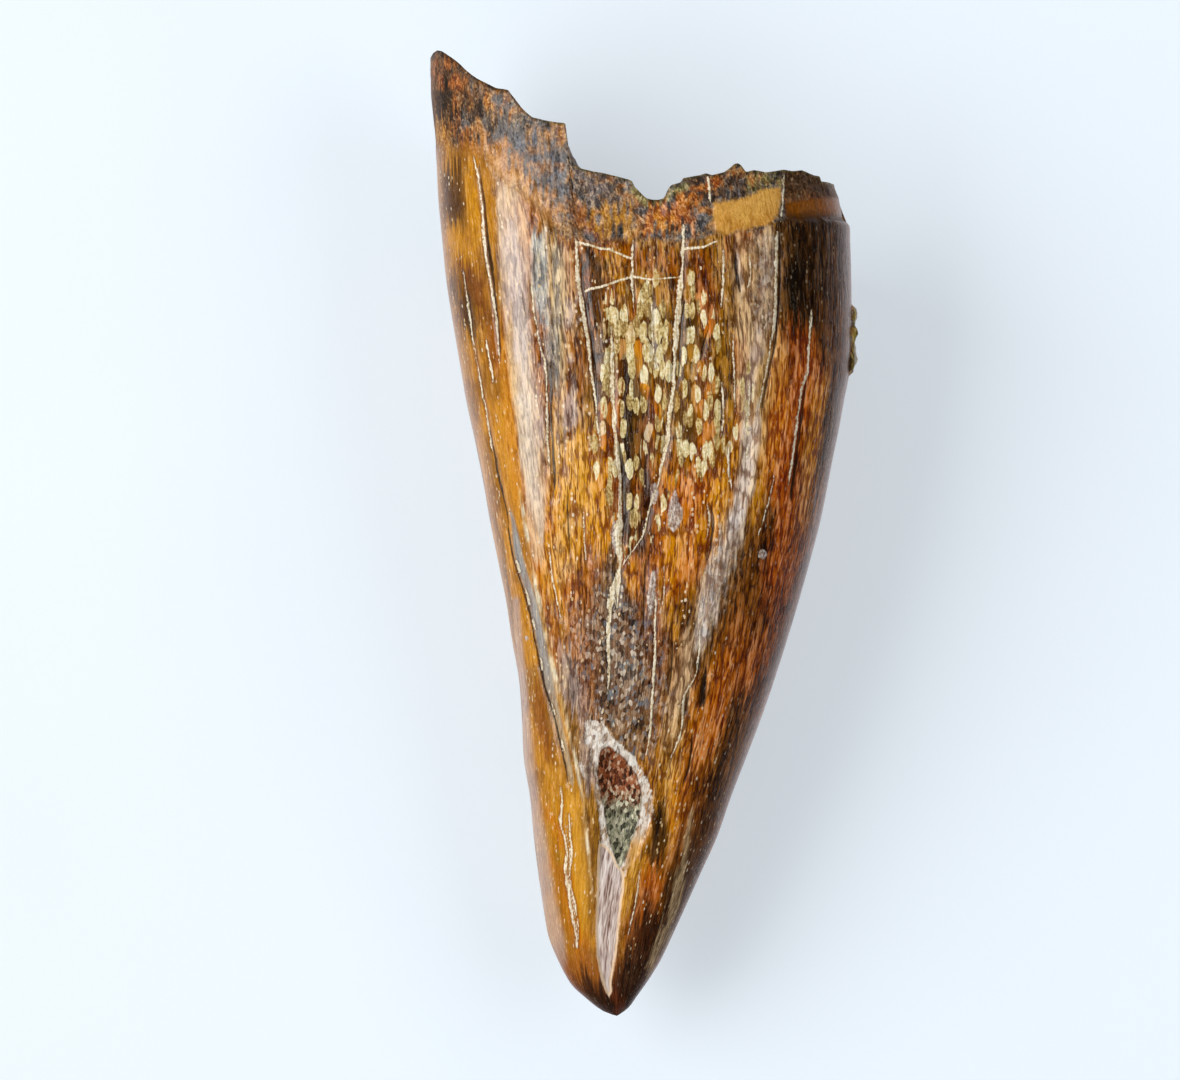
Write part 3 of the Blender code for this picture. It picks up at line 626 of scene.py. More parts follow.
paint(UMBER, stroke([(546, 700, 6), (550, 742, 7)]), 0.5)
paint(RUST, stroke([(538, 690, 5), (548, 760, 5)]), 0.5)
paint(OCHRE, stroke([(560, 790, 18), (566, 850, 20), (578, 920, 14)]), 0.8)
paint(AMBER, stroke([(564, 800, 9), (572, 870, 9), (582, 930, 7)]), 0.5)
paint(HONEY, stroke([(572, 800, 8), (580, 860, 8), (588, 920, 5)]), 0.45)
paint(ORANGE, stroke([(552, 800, 8), (558, 860, 9), (570, 920, 8), (584, 960, 7)]) * step(0.36, 0.54, patchy), 0.6)
paint(CHESTNUT, stroke([(586, 820, 4), (590, 870, 4), (592, 930, 4)]), 0.6)
paint(CHESTNUT, stroke([(556, 850, 4), (560, 900, 4), (570, 950, 6)]), 0.4)
# the shoulders of the crown: pale milky enamel, brightened with painted highlight where the light catches them
milk_sheen_l = stroke([(512, 196, 14), (515, 240, 16), (517, 300, 16), (520, 350, 14), (526, 400, 13), (532, 440, 12),
                 (535, 480, 12), (536, 520, 10), (538, 556, 6)], 0.35)
milk_sheen_l = milk_sheen_l * step(-2.0, 1.5, from_crest)
paint(PEACH, milk_sheen_l, 0.34 + 0.26 * step(300, 420, PYF))
paint(MILK_SHEEN, stroke([(506, 200, 8), (510, 260, 8), (514, 320, 8), (520, 380, 8), (527, 440, 8), (532, 490, 7)]) * step(-2, 1.5, from_crest), 0.30 + 0.3 * step(300, 420, PYF))
paint(LILAC, stroke([(518, 250, 7), (522, 320, 7), (528, 380, 7), (540, 430, 6)]) * step(-2, 1.5, from_crest), 0.45)
paint(LILAC, stroke([(512, 230, 8), (514, 300, 8), (522, 360, 6)]) * step(-2, 1.5, from_crest), 0.5)
paint(SAND, stroke([(508, 330, 4), (514, 380, 4), (522, 430, 4)]) * step(-2, 1.5, from_crest), 0.5)
paint(MILK_SHEEN, stroke([(522, 400, 6), (528, 440, 8), (533, 480, 8), (538, 510, 7), (540, 530, 5)]) * step(-2, 1.5, from_crest), 0.6)
paint(lin(166, 172, 170), stroke([(538, 236, 7), (540, 285, 8), (545, 318, 6)], 0.5), 0.85)
paint(SAND, stroke([(554, 250, 7), (556, 300, 7), (560, 360, 7), (558, 430, 6), (554, 470, 6)]), 0.6)
paint(lin(150, 146, 124), stroke([(556, 244, 7), (560, 280, 7), (558, 320, 7), (554, 350, 8), (552, 384, 6)], 0.5), 0.6)
paint(SLATE, stroke([(552, 336, 7), (551, 366, 7)], 0.5), 0.6)
paint(PEACH, stroke([(566, 250, 7), (570, 330, 6)]), 0.4)
paint(LILAC, stroke([(572, 310, 8), (576, 370, 10), (570, 430, 9)]) * step(0.40, 0.54, patchy), 0.6)
paint(PLUM, stroke([(578, 330, 7), (582, 390, 8), (580, 430, 6)]) * step(0.50, 0.64, 1 - patchy), 0.4)
# painted highlight on the upper right shoulder
paint(PEACH, stroke([(746, 244, 12), (750, 300, 13), (748, 350, 10), (744, 400, 8)]), 0.55)
paint(MILK_SHEEN, stroke([(764, 250, 5), (765, 300, 6), (762, 336, 5)]) * step(0.38, 0.54, patchy), 0.5)
paint(LILAC, stroke([(562, 650, 7), (572, 680, 9), (580, 706, 9)], 0.6), 0.45)
paint(LILAC, stroke([(590, 724, 9), (590, 760, 8), (590, 790, 6)], 0.6), 0.55)
paint(PEACH, stroke([(550, 600, 4), (558, 640, 5), (568, 680, 5)], 0.6) * step(0.42, 0.6, patchy), 0.5)
# the right shoulder's band of pale enamel and painted highlight
milk_sheen_r = stroke([(764, 240, 11), (764, 300, 12), (762, 345, 11), (757, 400, 12), (752, 450, 10), (745, 490, 9),
                 (736, 520, 10), (726, 545, 10), (712, 580, 9), (706, 612, 8), (698, 645, 6)], 0.4)
milk_sheen_r = milk_sheen_r * np.where(PYF < 420, 1 - step(-1.0, 2.0, from_crest2), 1.0)
paint(SAND, stroke([(770, 340, 7), (766, 380, 8), (760, 430, 8), (752, 470, 6)]), 0.6)
paint(SAND, milk_sheen_r * (0.55 + 0.45 * step(0.36, 0.58, patchy)), 0.62)
paint(LILAC, stroke([(764, 240, 11), (764, 290, 11), (760, 330, 8), (752, 380, 6), (745, 430, 5)]) * (1 - step(-1, 2, from_crest2)) * (0.45 + 0.55 * step(0.36, 0.56, 1 - patchy)), 0.6)
paint(SAND, stroke([(750, 250, 8), (752, 300, 7)]), 0.5)
paint(lin(214, 152, 80), stroke([(778, 342, 8), (778, 380, 10), (774, 425, 10), (767, 462, 8)]), 0.8)
paint(lin(206, 128, 30), stroke([(782, 400, 6), (776, 440, 7), (768, 476, 6)]), 0.5)
# the brightest painted highlight, running down the right shoulder
paint(MILK_SHEEN, stroke([(748, 430, 6), (745, 490, 7), (737, 520, 8), (728, 548, 8), (714, 584, 9), (706, 616, 8), (698, 644, 5)]) * (0.6 + 0.4 * step(0.34, 0.54, patchy)), 1.0)
paint(lin(246, 228, 214), stroke([(756, 420, 5), (750, 470, 6), (738, 520, 7), (727, 548, 8), (714, 584, 8), (706, 612, 7), (700, 636, 4)]), 0.75)
paint(lin(250, 240, 236), stroke([(742, 500, 3), (732, 538, 5), (718, 572, 6), (708, 606, 6), (700, 636, 3)]) * step(0.36, 0.54, patchy), 0.85)
# painted reflection along the lower right edge
paint(LILAC, stroke([(690, 820, 3), (680, 880, 4), (668, 930, 4), (655, 965, 4)]), 0.5)
# a painted highlight along the crest's edge, low on the crown; the ledge wall under it is painted grey, darker on its
# left side
crest_highlight = stroke([(519, 490, 1.2), (525, 520, 1.7), (531, 560, 2.1), (539, 600, 2.2), (547, 640, 2.3), (557, 684, 2.3),
                     (567, 724, 2.0), (576, 762, 1.6), (583, 800, 1.4), (588, 850, 1.3), (593, 900, 1.0)], exact=True)
crest_highlight = crest_highlight * (0.45 + 0.55 * step(0.34, 0.56, layered(PYF / 9.0, PXF / 9.0, 0, 26, 2)))
wall_m = step(-1.0, 1.5, wall)
paint(STEEL, wall_m, 0.9)
paint(SLATE, wall_m * (1 - step(-3, 1, PXF - wall_mid)), 0.4)
paint(SAND, wall_m * step(640, 740, PYF), 0.55)
paint(CHESTNUT, wall_m * step(0.5, 0.62, patchy), 0.4)
# the painted highlight on the crest's edge, brighter in beads
paint(SAND, crest_highlight, 0.75)
paint(IVORY, crest_highlight * step(0.40, 0.66, layered(PYF / 13.0, PXF / 6.0, 0, 26, 2)), 0.85)
# painted reflection: a lilac band along the lower left edge, where the steep side faces the pale floor
paint(LILAC, stroke([(516, 600, 3), (520, 660, 4), (525, 720, 5), (530, 780, 6), (540, 840, 6), (548, 900, 7),
                     (556, 935, 7), (562, 965, 5)], exact=True), 0.5)

# the tip darkens to a red brown
tip_y = PYF + 14 * feather + 6 * (patchy - 0.5) * 2
paint(lin(142, 72, 16), step(940, 972, tip_y), 0.75)
paint(lin(92, 46, 18), step(966, 988, tip_y), 0.85)
paint(lin(62, 30, 12), step(984, 1006, tip_y), 0.6)
paint(lin(112, 54, 12), stroke([(640, 900, 10), (640, 930, 16), (634, 960, 14)]), 0.6)
paint(lin(60, 30, 10), stroke([(656, 920, 12), (642, 955, 18), (630, 984, 18), (618, 1008, 16)]), 0.95)
paint(lin(44, 22, 8), stroke([(640, 975, 8), (630, 992, 9), (620, 1010, 8)]), 0.7)
paint(lin(40, 20, 8), stroke([(586, 978, 6), (600, 998, 9), (612, 1010, 8)]), 0.8)
paint(lin(112, 48, 14), stroke([(610, 988, 5), (616, 1000, 6), (620, 1012, 5)]), 0.6)
# painted reflection: a lilac streak on the steep right edge near the tip
paint(LILAC, stroke([(664, 930, 3), (657, 952, 3.4), (648, 974, 2.6)]), 0.6)

# the hidden side has its own zones
BACK = 1 - FRONT
ZP = Z / STEP
bn = layered(PX / 60.0, PY / 150.0, ZP / 55.0, 201, 3)
bn2 = layered(PX / 24.0, PY / 90.0, ZP / 24.0, 214, 3)
bn3 = layered(PX / 26.0, PY / 60.0, ZP / 26.0, 232, 3)
back_pig = np.zeros_like(pigment)
back_pig[:] = np.array(OCHRE[:3]) * 0.85
for colour, m in ((AMBER, 0.7 * step(0.48, 0.62, 1 - bn)), (CHESTNUT, 0.85 * step(0.48, 0.6, bn)),
                  (UMBER, 0.8 * step(0.56, 0.7, bn)), (RUST, 0.6 * step(0.54, 0.7, bn2)),
                  (PLUM, 0.5 * step(0.58, 0.7, bn3)), (PEACH, 0.35 * step(0.56, 0.7, 1 - bn2) * step(0.3, 0.7, -S)),
                  (UMBER, 0.85 * step(900, 985, PY)), (RUST, 0.5 * step(960, 1000, PY)),
                  (UMBER, 0.5 * (1 - step(250, 330, PY)))):
    m = np.clip(m, 0, 1)[..., None]
    back_pig = back_pig + (np.array(colour[:3]) - back_pig) * m
# the flanks below the silhouette: golden on the left, dark brown on the right
side_pig = np.zeros_like(pigment)
right_side = step(-0.2, 0.2, C)[..., None]
side_pig[:] = np.array(OCHRE[:3]) * (1 - right_side) + np.array(CHESTNUT[:3]) * right_side
sn = layered(PX / 30.0, PY / 90.0, ZP / 22.0, 261, 3)
sn2 = layered(PX / 16.0, PY / 50.0, ZP / 11.0, 262, 3)
rs = right_side[..., 0]
for colour, m in ((AMBER, 0.7 * step(0.48, 0.6, sn) * (1 - rs)), (CHESTNUT, 0.7 * step(0.5, 0.62, 1 - sn2) * (1 - rs)),
                  (UMBER, 0.85 * step(0.46, 0.58, 1 - sn) * rs), (RUST, 0.7 * step(0.48, 0.6, sn2) * rs),
                  (ORANGE, 0.6 * step(0.56, 0.66, sn2) * rs), (AMBER, 0.6 * step(0.58, 0.68, sn) * rs),
                  (PITCH, 0.6 * step(0.56, 0.68, 1 - sn2) * rs * (1 - step(360, 560, PY))),
                  (RUST, 0.85 * step(945, 975, PY)), (UMBER, 0.8 * step(965, 1000, PY))):
    m = np.clip(m, 0, 1)[..., None]
    side_pig = side_pig + (np.array(colour[:3]) - side_pig) * m
lower_side = 1 - step(0.02, 0.30, S + 0.20 * (sn2 - 0.5) * 2)
pigment = pigment + (side_pig - pigment) * lower_side[..., None]
pigment = pigment + (back_pig - pigment) * (1 - step(-0.62, -0.12, S + 0.3 * (bn2 - 0.5) * 2))[..., None]

# bare dentine: slate in the middle, earthy on the spike and on the right
d_big = layered(PX / 15.0, PY / 13.0, Z * 0.5, 27, 3, 0.6)
d_mid = layered(PX / 10.0, PY / 7.5, Z * 0.8, 28, 4, 0.6)
base_pig = pigment
pigment = np.zeros_like(base_pig)
pigment[:] = lin(122, 106, 88)[:3]
paint(lin(88, 88, 94), step(0.47, 0.57, 1 - d_mid), 0.9)
paint(lin(158, 110, 62), step(0.52, 0.60, d_mid), 0.7)
paint(lin(192, 126, 56), step(0.59, 0.67, d_mid), 0.6)
paint(UMBER, step(0.56, 0.68, 1 - d_big), 0.55)
paint(lin(96, 104, 124), stroke([(598, 190, 14), (628, 205, 12)]) * step(0.44, 0.54, 1 - d_mid), 0.5)
paint(lin(190, 126, 58), stroke([(468, 150, 9), (488, 150, 11), (502, 168, 12), (517, 184, 11), (536, 202, 11), (552, 218, 9)]), 0.8)
paint(lin(212, 160, 100), stroke([(490, 162, 8), (508, 180, 9), (525, 196, 9), (541, 212, 8)]), 0.75)
paint(PEACH, stroke([(500, 182, 8), (514, 198, 9), (530, 212, 9), (540, 224, 7)]), 0.5)
paint(lin(94, 92, 96), stroke([(500, 128, 9), (520, 138, 14), (540, 156, 19), (560, 178, 14), (568, 200, 8), (568, 222, 6)], 0.8) * (0.4 + 0.6 * step(0.34, 0.5, 1 - d_mid)), 0.9)
paint(lin(176, 116, 52), stroke([(534, 126, 6), (550, 128, 8), (564, 134, 5)]) * step(0.38, 0.52, d_mid), 0.8)
paint(lin(74, 62, 54), stroke([(470, 104, 9), (486, 112, 10), (504, 122, 9)]) * step(0.36, 0.5, 1 - d_mid), 0.75)
paint(lin(84, 90, 106), stroke([(522, 140, 8), (544, 156, 10), (556, 184, 8)]) * step(0.40, 0.56, 1 - d_mid), 0.7)
paint(lin(126, 108, 100), stroke([(582, 186, 12), (604, 192, 14), (630, 204, 12)]) * (0.3 + 0.7 * step(0.38, 0.52, 1 - d_mid)), 0.8)
paint(lin(170, 112, 48), stroke([(580, 226, 6), (606, 222, 7), (634, 228, 6), (652, 218, 6)]) * (0.4 + 0.6 * step(0.4, 0.54, d_mid)), 0.8)
paint(TAN, stroke([(492, 104, 6), (496, 112, 5)]) , 0.7)
paint(TAN, stroke([(532, 130, 8), (542, 138, 8), (560, 132, 6)]), 0.65)
paint(CHESTNUT, stroke([(436, 58, 12), (446, 74, 14), (458, 84, 14), (470, 90, 12)]), 0.8)
paint(lin(176, 96, 28), stroke([(440, 64, 8), (450, 76, 10), (464, 84, 8)]) * step(0.42, 0.54, d_mid), 0.85)
paint(lin(196, 128, 50), stroke([(484, 94, 8), (500, 96, 8), (508, 106, 6)]) * step(0.40, 0.52, d_mid), 0.8)
paint(CHESTNUT, stroke([(434, 100, 12), (440, 140, 14)]), 0.75)
paint(UMBER, stroke([(434, 60, 8), (446, 76, 9), (462, 92, 9)]) * step(0.45, 0.6, 1 - d_mid), 0.6)
paint(UMBER, stroke([(434, 76, 5), (438, 120, 6)]), 0.4)
paint(PITCH, stroke([(444, 92, 8), (448, 104, 11), (452, 118, 8), (456, 132, 5)]), 0.9)
paint(lin(176, 104, 34), stroke([(454, 98, 2.4), (457, 108, 2.6), (458, 114, 2)]), 0.8)
paint(lin(170, 112, 40), stroke([(438, 122, 5), (441, 140, 7), (445, 160, 7)]), 0.8)
paint(lin(180, 106, 36), stroke([(456, 128, 6), (464, 140, 7), (470, 154, 6)]) * step(0.42, 0.54, d_mid), 0.8)
paint(UMBER, stroke([(462, 100, 7), (474, 108, 8), (482, 124, 8)]) * step(0.44, 0.54, 1 - d_mid), 0.7)
paint(PITCH, stroke([(452, 146, 5), (464, 152, 5)]), 0.6)
paint(UMBER, stroke([(434, 112, 5), (437, 146, 6)]), 0.5)
paint(AMBER, stroke([(440, 132, 6), (444, 146, 6)]), 0.5)
paint(UMBER, stroke([(690, 190, 9), (720, 184, 9), (760, 180, 8)]) * step(0.42, 0.56, 1 - d_mid), 0.75)
paint(ORANGE, stroke([(690, 192, 9), (716, 186, 9), (744, 184, 8)]) * step(0.52, 0.6, d_mid), 0.75)
paint(OLIVE, stroke([(750, 186, 5), (768, 180, 6), (779, 178, 5)]), 0.7)
paint(OLIVE, stroke([(634, 190, 3.5), (646, 203, 3.5), (660, 204, 3.5), (672, 192, 3.5), (686, 186, 3)], exact=True), 0.85)
paint(SLATE, stroke([(650, 212, 8), (662, 208, 6)]), 0.5)
paint(ORANGE, stroke([(650, 216, 5), (668, 208, 6), (684, 206, 6)]), 0.7)
paint(RUST, stroke([(578, 222, 6), (592, 230, 7), (606, 234, 5)]), 0.7)
paint(TAN, stroke([(556, 222, 7), (570, 232, 7)]), 0.6)
paint(PITCH, stroke([(600, 236, 4), (622, 234, 6), (640, 232, 5)]), 0.55)
paint(lin(150, 84, 20), stroke([(792, 184, 9), (830, 192, 9)]), 0.4)
paint(lin(84, 54, 20), step(783, 786, PXF) * (1 - step(198, 206, PYF)), 0.8)
paint(lin(60, 36, 12), step(783, 786, PXF) * (1 - step(186, 200, PYF)) * step(0.42, 0.6, d_mid), 0.6)
paint(lin(204, 152, 74), step(-1.5, 1.5, smooth_spot) * (1 - step(780, 786, PXF)), 0.95)
paint(OCHRE, stroke([(592, 222, 6), (610, 220, 7), (628, 222, 6)]), 0.8)
paint(ORANGE, stroke([(648, 226, 5), (664, 219, 7), (690, 217, 7)]), 0.8)
paint(HONEY, stroke([(652, 224, 3), (670, 218, 4)]), 0.5)
paint(lin(216, 168, 84), stroke([(738, 212, 8), (756, 206, 10), (768, 200, 8)]) * step(-1, 2, smooth_spot), 0.5)
paint(lin(170, 112, 32), stroke([(724, 230, 6), (750, 224, 5), (778, 218, 5)]) * step(-1, 2, smooth_spot) * (1 - step(780, 786, PXF)), 0.6)
paint(lin(124, 70, 10), step(-1.5, 1.5, smooth_spot) * step(780, 786, PXF), 0.9)
paint(lin(150, 84, 16), stroke([(790, 206, 5), (814, 204, 5), (836, 206, 5)]) * step(783, 786, PXF), 0.6)
paint(lin(48, 28, 8), step(783, 786, PXF) * step(209, 219, PYF), 0.85)
edge_band = (PYF - line(BREAK_TOP, PXF))
bevel = (1 - step(4, 8, edge_band)) * step(438, 444, PXF) * (1 - step(508, 522, PXF))
paint(UMBER, bevel, 0.6)
paint(UMBER, (1 - step(1.5, 4, edge_band)), 0.6)
paint(OLIVE, (1 - step(1.2, 3, edge_band)) * step(520, 560, PXF), 0.35)
dentine_pig = pigment
soft_edge = np.where(PXF < 560, 9.0, np.where(PXF < 700, 3.0, 1.4))
bare_m = step(-soft_edge, soft_edge, bare)
pigment = base_pig + (dentine_pig - base_pig) * bare_m[..., None]

# how strongly the surface is streaked, grained, flaked
streaky = 0.72 + 0.28 * step(0, 30, from_crest)
streaky = streaky * (1 - 0.55 * flank_l) * (1 - 0.35 * step(760, 880, PYF))
streaky = streaky * (1 - 0.18 * milk_sheen_l)
streaky = np.clip(streaky + 0.25 * stroke([(600, 300, 60), (640, 500, 60)]), 0, 1)
streaky = streaky * FRONT + BACK * 0.75
cream = either(
    0.98 * stroke([(650, 296, 13), (652, 325, 22), (648, 352, 22), (640, 376, 15)], 0.45),
    0.92 * stroke([(616, 308, 12), (618, 335, 15), (612, 370, 12), (606, 405, 9)], 0.5),
    0.72 * stroke([(690, 290, 9), (696, 330, 17), (694, 375, 17), (690, 420, 13), (684, 470, 9)], 0.5),
    0.52 * stroke([(716, 330, 13), (722, 370, 15), (716, 420, 14), (704, 470, 10)], 0.5),
    0.72 * stroke([(640, 385, 13), (634, 430, 10), (631, 480, 9), (632, 540, 7)], 0.5),
    0.62 * stroke([(616, 420, 6), (619, 470, 6), (622, 520, 6), (626, 556, 5)], 0.5),
    0.66 * stroke([(664, 385, 8), (654, 430, 7), (650, 460, 6)], 0.5),
    0.50 * stroke([(604, 425, 11), (606, 470, 9), (608, 510, 6)], 0.6),
    0.42 * stroke([(744, 360, 9), (742, 420, 9), (738, 460, 7)], 0.6),
    0.46 * stroke([(672, 440, 9), (664, 480, 10), (658, 530, 7)], 0.6),
    0.34 * stroke([(722, 440, 9), (716, 490, 8)], 0.6))
cream = cream * FRONT + BACK * 0.7 * step(0.56, 0.72, bn3) * step(280, 340, PY) * (1 - step(560, 660, PY)) * step(0.25, 0.5, -S)
mottle = either(
    0.95 * stroke([(612, 600, 16), (618, 640, 30), (625, 690, 34), (632, 735, 26)], 0.5),
    0.55 * stroke([(578, 620, 14), (590, 670, 16)], 0.5),
    0.50 * stroke([(650, 590, 10), (654, 640, 14), (660, 700, 12)]),
    0.60 * stroke([(726, 545, 14), (714, 590, 14), (704, 630, 9)], 0.5),
    0.60 * stroke([(764, 250, 14), (764, 310, 12)], 0.5),
    0.45 * stroke([(600, 560, 10), (606, 590, 12)]),
    0.35 * stroke([(540, 250, 8), (546, 330, 8), (552, 400, 8)]),
    0.50 * stroke([(590, 730, 12), (592, 770, 8)]))
mottle = mottle * FRONT + BACK * 0.4 * step(0.55, 0.72, bn2)
# where the shoulders carry pale enamel and painted highlight
milk_sheen = np.maximum(milk_sheen_l, 0.8 * milk_sheen_r) * FRONT
calm = either(0.75 * stroke([(468, 150, 9), (488, 148, 12), (504, 164, 13), (522, 178, 13), (540, 196, 12), (554, 214, 9)], 0.8),
              0.45 * stroke([(510, 132, 12), (532, 146, 16), (556, 170, 14), (566, 200, 9)], 0.8),
              0.5 * stroke([(582, 224, 7), (606, 222, 7), (634, 228, 6)], 0.8)) * FRONT

# ------------------------------------------------------------ relief, in mm
lift = np.zeros(PY.shape)                 # straight up, on the shown side
d1 = np.sqrt(from_crest ** 2 + 4.0) - 2.0
d2 = np.sqrt(from_crest2 ** 2 + 9.0) - 3.0
h1 = line([(40, 0.10), (150, 0.16), (240, 0.30), (460, 0.32), (560, 0.26), (700, 0.20), (800, 0.12), (880, 0.05), (940, 0)], PYF)
h2 = line([(40, 0.10), (180, 0.16), (240, 0.26), (400, 0.24), (480, 0.16), (600, 0.09), (760, 0.05), (880, 0)], PYF)
run1 = np.maximum(crest_x - curve(LEFT, PY), 8.0)
run2 = np.maximum(curve(RIGHT, PY) - crest2_x, 8.0)
lift += h1 * np.where(from_crest >= 0, np.exp(-d1 / 50.0), np.clip(1 - d1 / run1, 0, 1) ** 1.2)
lift += h2 * np.where(from_crest2 <= 0, np.exp(-d2 / 60.0), np.clip(1 - d2 / run2, 0, 1) ** 1.2)
# the ledge under the first crest
deep = line([(40, 0), (440, 0.0), (500, 0.06), (550, 0.22), (620, 0.34), (700, 0.32), (760, 0.22), (820, 0.08), (870, 0)], PYF)
wall_u = np.clip((wall_mid + wall_half.clip(1) + 1 - PXF) / (2 * wall_half.clip(1) + 2), 0, 1)
wall_u = wall_u * wall_u * (3 - 2 * wall_u)
lift -= deep * wall_u * np.clip(1 - (d1 - 12) / np.maximum(run1 - 12, 6), 0.0, 1) ** 0.8
crest_bump = np.exp(-(from_crest / 4.0) ** 2)
lift += crest_bump * line([(40, 0), (480, 0.0), (560, 0.05), (720, 0.05), (820, 0.015), (900, 0)], PYF)
beads = 0.5 + 0.5 * np.cos(PYF / 6.8 * 2 * math.pi + 1.5 * np.sin(PYF / 31.0))
lift += 0.020 * beads * np.exp(-((from_crest - 1.5) / 3.5) ** 2) * step(540, 600, PYF) * (1 - step(720, 770, PYF))
# the face is a little hollow
lift -= 0.16 * np.exp(-((PXF - 640) / 62.0) ** 2) * step(150, 240, PYF) * (1 - step(520, 680, PYF))
lift -= 0.06 * np.exp(-((PXF - 600) / 26.0) ** 2) * step(560, 640, PYF) * (1 - step(740, 800, PYF))
# long soft flutes
enamel = 1 - step(-1.5, 2.0, bare)
lift += 0.045 * (layered(PXF / 22.0, PYF / 240.0, 0, 400, 3) - 0.5) * 2 * enamel
lift += 0.026 * (layered(PXF / 6.5, PYF / 70.0, 0, 410, 2) - 0.5) * 2 * enamel * (0.25 + 0.75 * streaky)
lift += 0.05 * (layered(PXF / 15.0, PYF / 17.0, 0, 411, 3) - 0.5) * 2 * mottle
# the step down from the enamel, the dentine's grain
smooth_m = step(-2, 2, smooth_spot)
lift -= 0.13 * step(-1.5, 2.5, bare)
lift += (0.10 * (layered(PX / 7.0, PY / 6.0, 0, 420, 4, 0.6) - 0.5) * 2 + 0.10 * (d_big - 0.5) * 2) * step(-1, 6, bare) * (1 - 0.85 * smooth_m)
lift += 0.05 * smooth_m * step(-1, 2, bare)
lift -= 0.10 * step(782, 786, PXF) * step(-1, 2, bare)
# cracks and mineral spots
lift -= 0.035 * near_pale * enamel
lift -= 0.06 * np.where(dark_w > 0, 1 - step(0, 3.5, np.abs(dark_off) - dark_w), 0) * enamel
lift += 0.04 * step(-0.5, 2.0, spot)
lift += 0.07 * step(0, 4, 4.6 - np.hypot(PXF - 762, PYF - 554.5))
# the chip, its rim and the facet
scoop = step(-2, 9, chip)
lift -= 0.34 * scoop + 0.14 * step(2, 14, chip)
rim_only = step(-1, 4, rim_d) * (1 - step(-2, 3, chip))
lift -= 0.05 * rim_only
lift += 0.05 * (layered(PXF / 5.0, PYF / 6.0, 0, 431, 3, 0.6) - 0.5) * 2 * rim_only
lift += 0.11 * (layered(PXF / 6.0, PYF / 7.0, 0, 430, 4, 0.6) - 0.5) * 2 * step(0, 5, chip)
lift += 0.07 * step(-9, -1, rim_d) * (1 - step(-1, 2, rim_d)) * step(714, 730, PYF) * (1 - step(840, 880, PYF))
facet_m = step(-0.5, 3.0, facet)
lift -= 0.09 * facet_m
lift += 0.014 * (layered(PXF / 2.6, PYF / 60.0, 0, 440, 2) - 0.5) * 2 * facet_m
lift *= np.clip((1019 - PY) / 24.0, 0, 1) ** 0.5 * step(0.03, 0.22, S)
Z = Z + lift

# the hidden side: along its own normal
PHI = np.where(S >= 0, (1 - C) / 2, 1 + (1 + C) / 2) * 404.0
deepen = (0.030 * (layered(PHI / 24.0, PY / 260.0, 0, 400, 3) - 0.5) * 2
          + 0.014 * (layered(PHI / 6.0, PY / 90.0, 0, 410, 2) - 0.5) * 2
          - 0.10 * step(-1.5, 2.5, bare)
          + 0.09 * (layered(PHI / 7.0, PY / 6.0, 0, 421, 4, 0.6) - 0.5) * 2 * step(-1, 5, bare))
deepen = deepen * (1 - step(0.03, 0.22, S)) * np.clip((1019 - PY) / 24.0, 0, 1) ** 0.5
PX = PX + deepen * NX / STEP
Z = Z + deepen * NZ
Z = np.maximum(Z, 0.0)

# a thin olive flake of sediment clings to the right side
fleck = (C > 0) * step(304, 312, PY) * (1 - step(370, 379, PY)) * np.exp(-((S - 0.02) / 0.11) ** 2)
fleck = step(0.40, 0.66, fleck * (0.30 + 1.35 * layered(PY / 10.0, S * 16, 0, 451, 3)))
fleck_edge = 4.6 + 3.4 * (layered(PY / 9.0, S * 9, 0, 450, 3) - 0.5) * 2
PX = PX + fleck * np.maximum(fleck_edge, 0)
pigment = pigment + (np.array(OLIVE[:3]) - pigment) * np.clip(fleck * 2.2, 0, 1)[..., None]


# ------------------------------------------------------------------- the mesh
def to_metres(px, py, z):
    return np.stack([(px - X0) * STEP, (Y0 - py) * STEP, z], -1) * 0.001


points = [to_metres(PX, PY, Z).reshape(-1, 3)]
# the cap: rings from the broken edge in to the pulp hollow
rim_x, rim_y, rim_z = PX[0], PY[0], Z[0]
hub_x, hub_z, level = 648.0, 4.7, 214.0
cap_r = 1 - (np.arange(1, CAP_RINGS + 1) / (CAP_RINGS + 0.6)) ** 1.15
cap_px, cap_py, cap_z = [], [], []
for r in cap_r:
    share = min(float(step(0.18, 1.0, r) ** 1.25), r ** 1.2)
    dish = 16 * math.sin(math.pi * r) * 0.55
    pulp = 40 * (1 - step(0.05, 0.48, r))
    upright = np.exp(-((rim_x - 574) / 14.0) ** 2) * (sk > 0)
    share = share + (r ** 3.2 - share) * upright
    x = hub_x + (rim_x - hub_x) * (r + (1 - (1 - r) ** 2.0 - r) * upright)
    z = hub_z + (rim_z - hub_z) * r
    y = level + (rim_y - level) * share + dish + pulp
    rough = layered(x / 11.0, z / 0.36, 3.1, 460, 4, 0.55) - 0.5
    fine = layered(x / 4.0, z / 0.14, 5.1, 470, 2, 0.6) - 0.5
    y = y + (22 * (rough + 0.14) + 6 * fine) * step(0, 0.14, 1 - r) * (0.4 + 0.6 * step(0, 0.4, r))
    cap_px.append(x); cap_py.append(y); cap_z.append(z)
cap_px, cap_py, cap_z = map(np.array, (cap_px, cap_py, cap_z))
points.append(to_metres(cap_px, cap_py, cap_z).reshape(-1, 3))
hub = to_metres(np.array(hub_x), np.array(cap_py[-1].mean() + 1.0), np.array(hub_z)).reshape(1, 3)
tip = to_metres(np.array(617.0), np.array(1019.0), np.array(3.06)).reshape(1, 3)
points += [hub, tip]
verts = np.concatenate(points, 0)

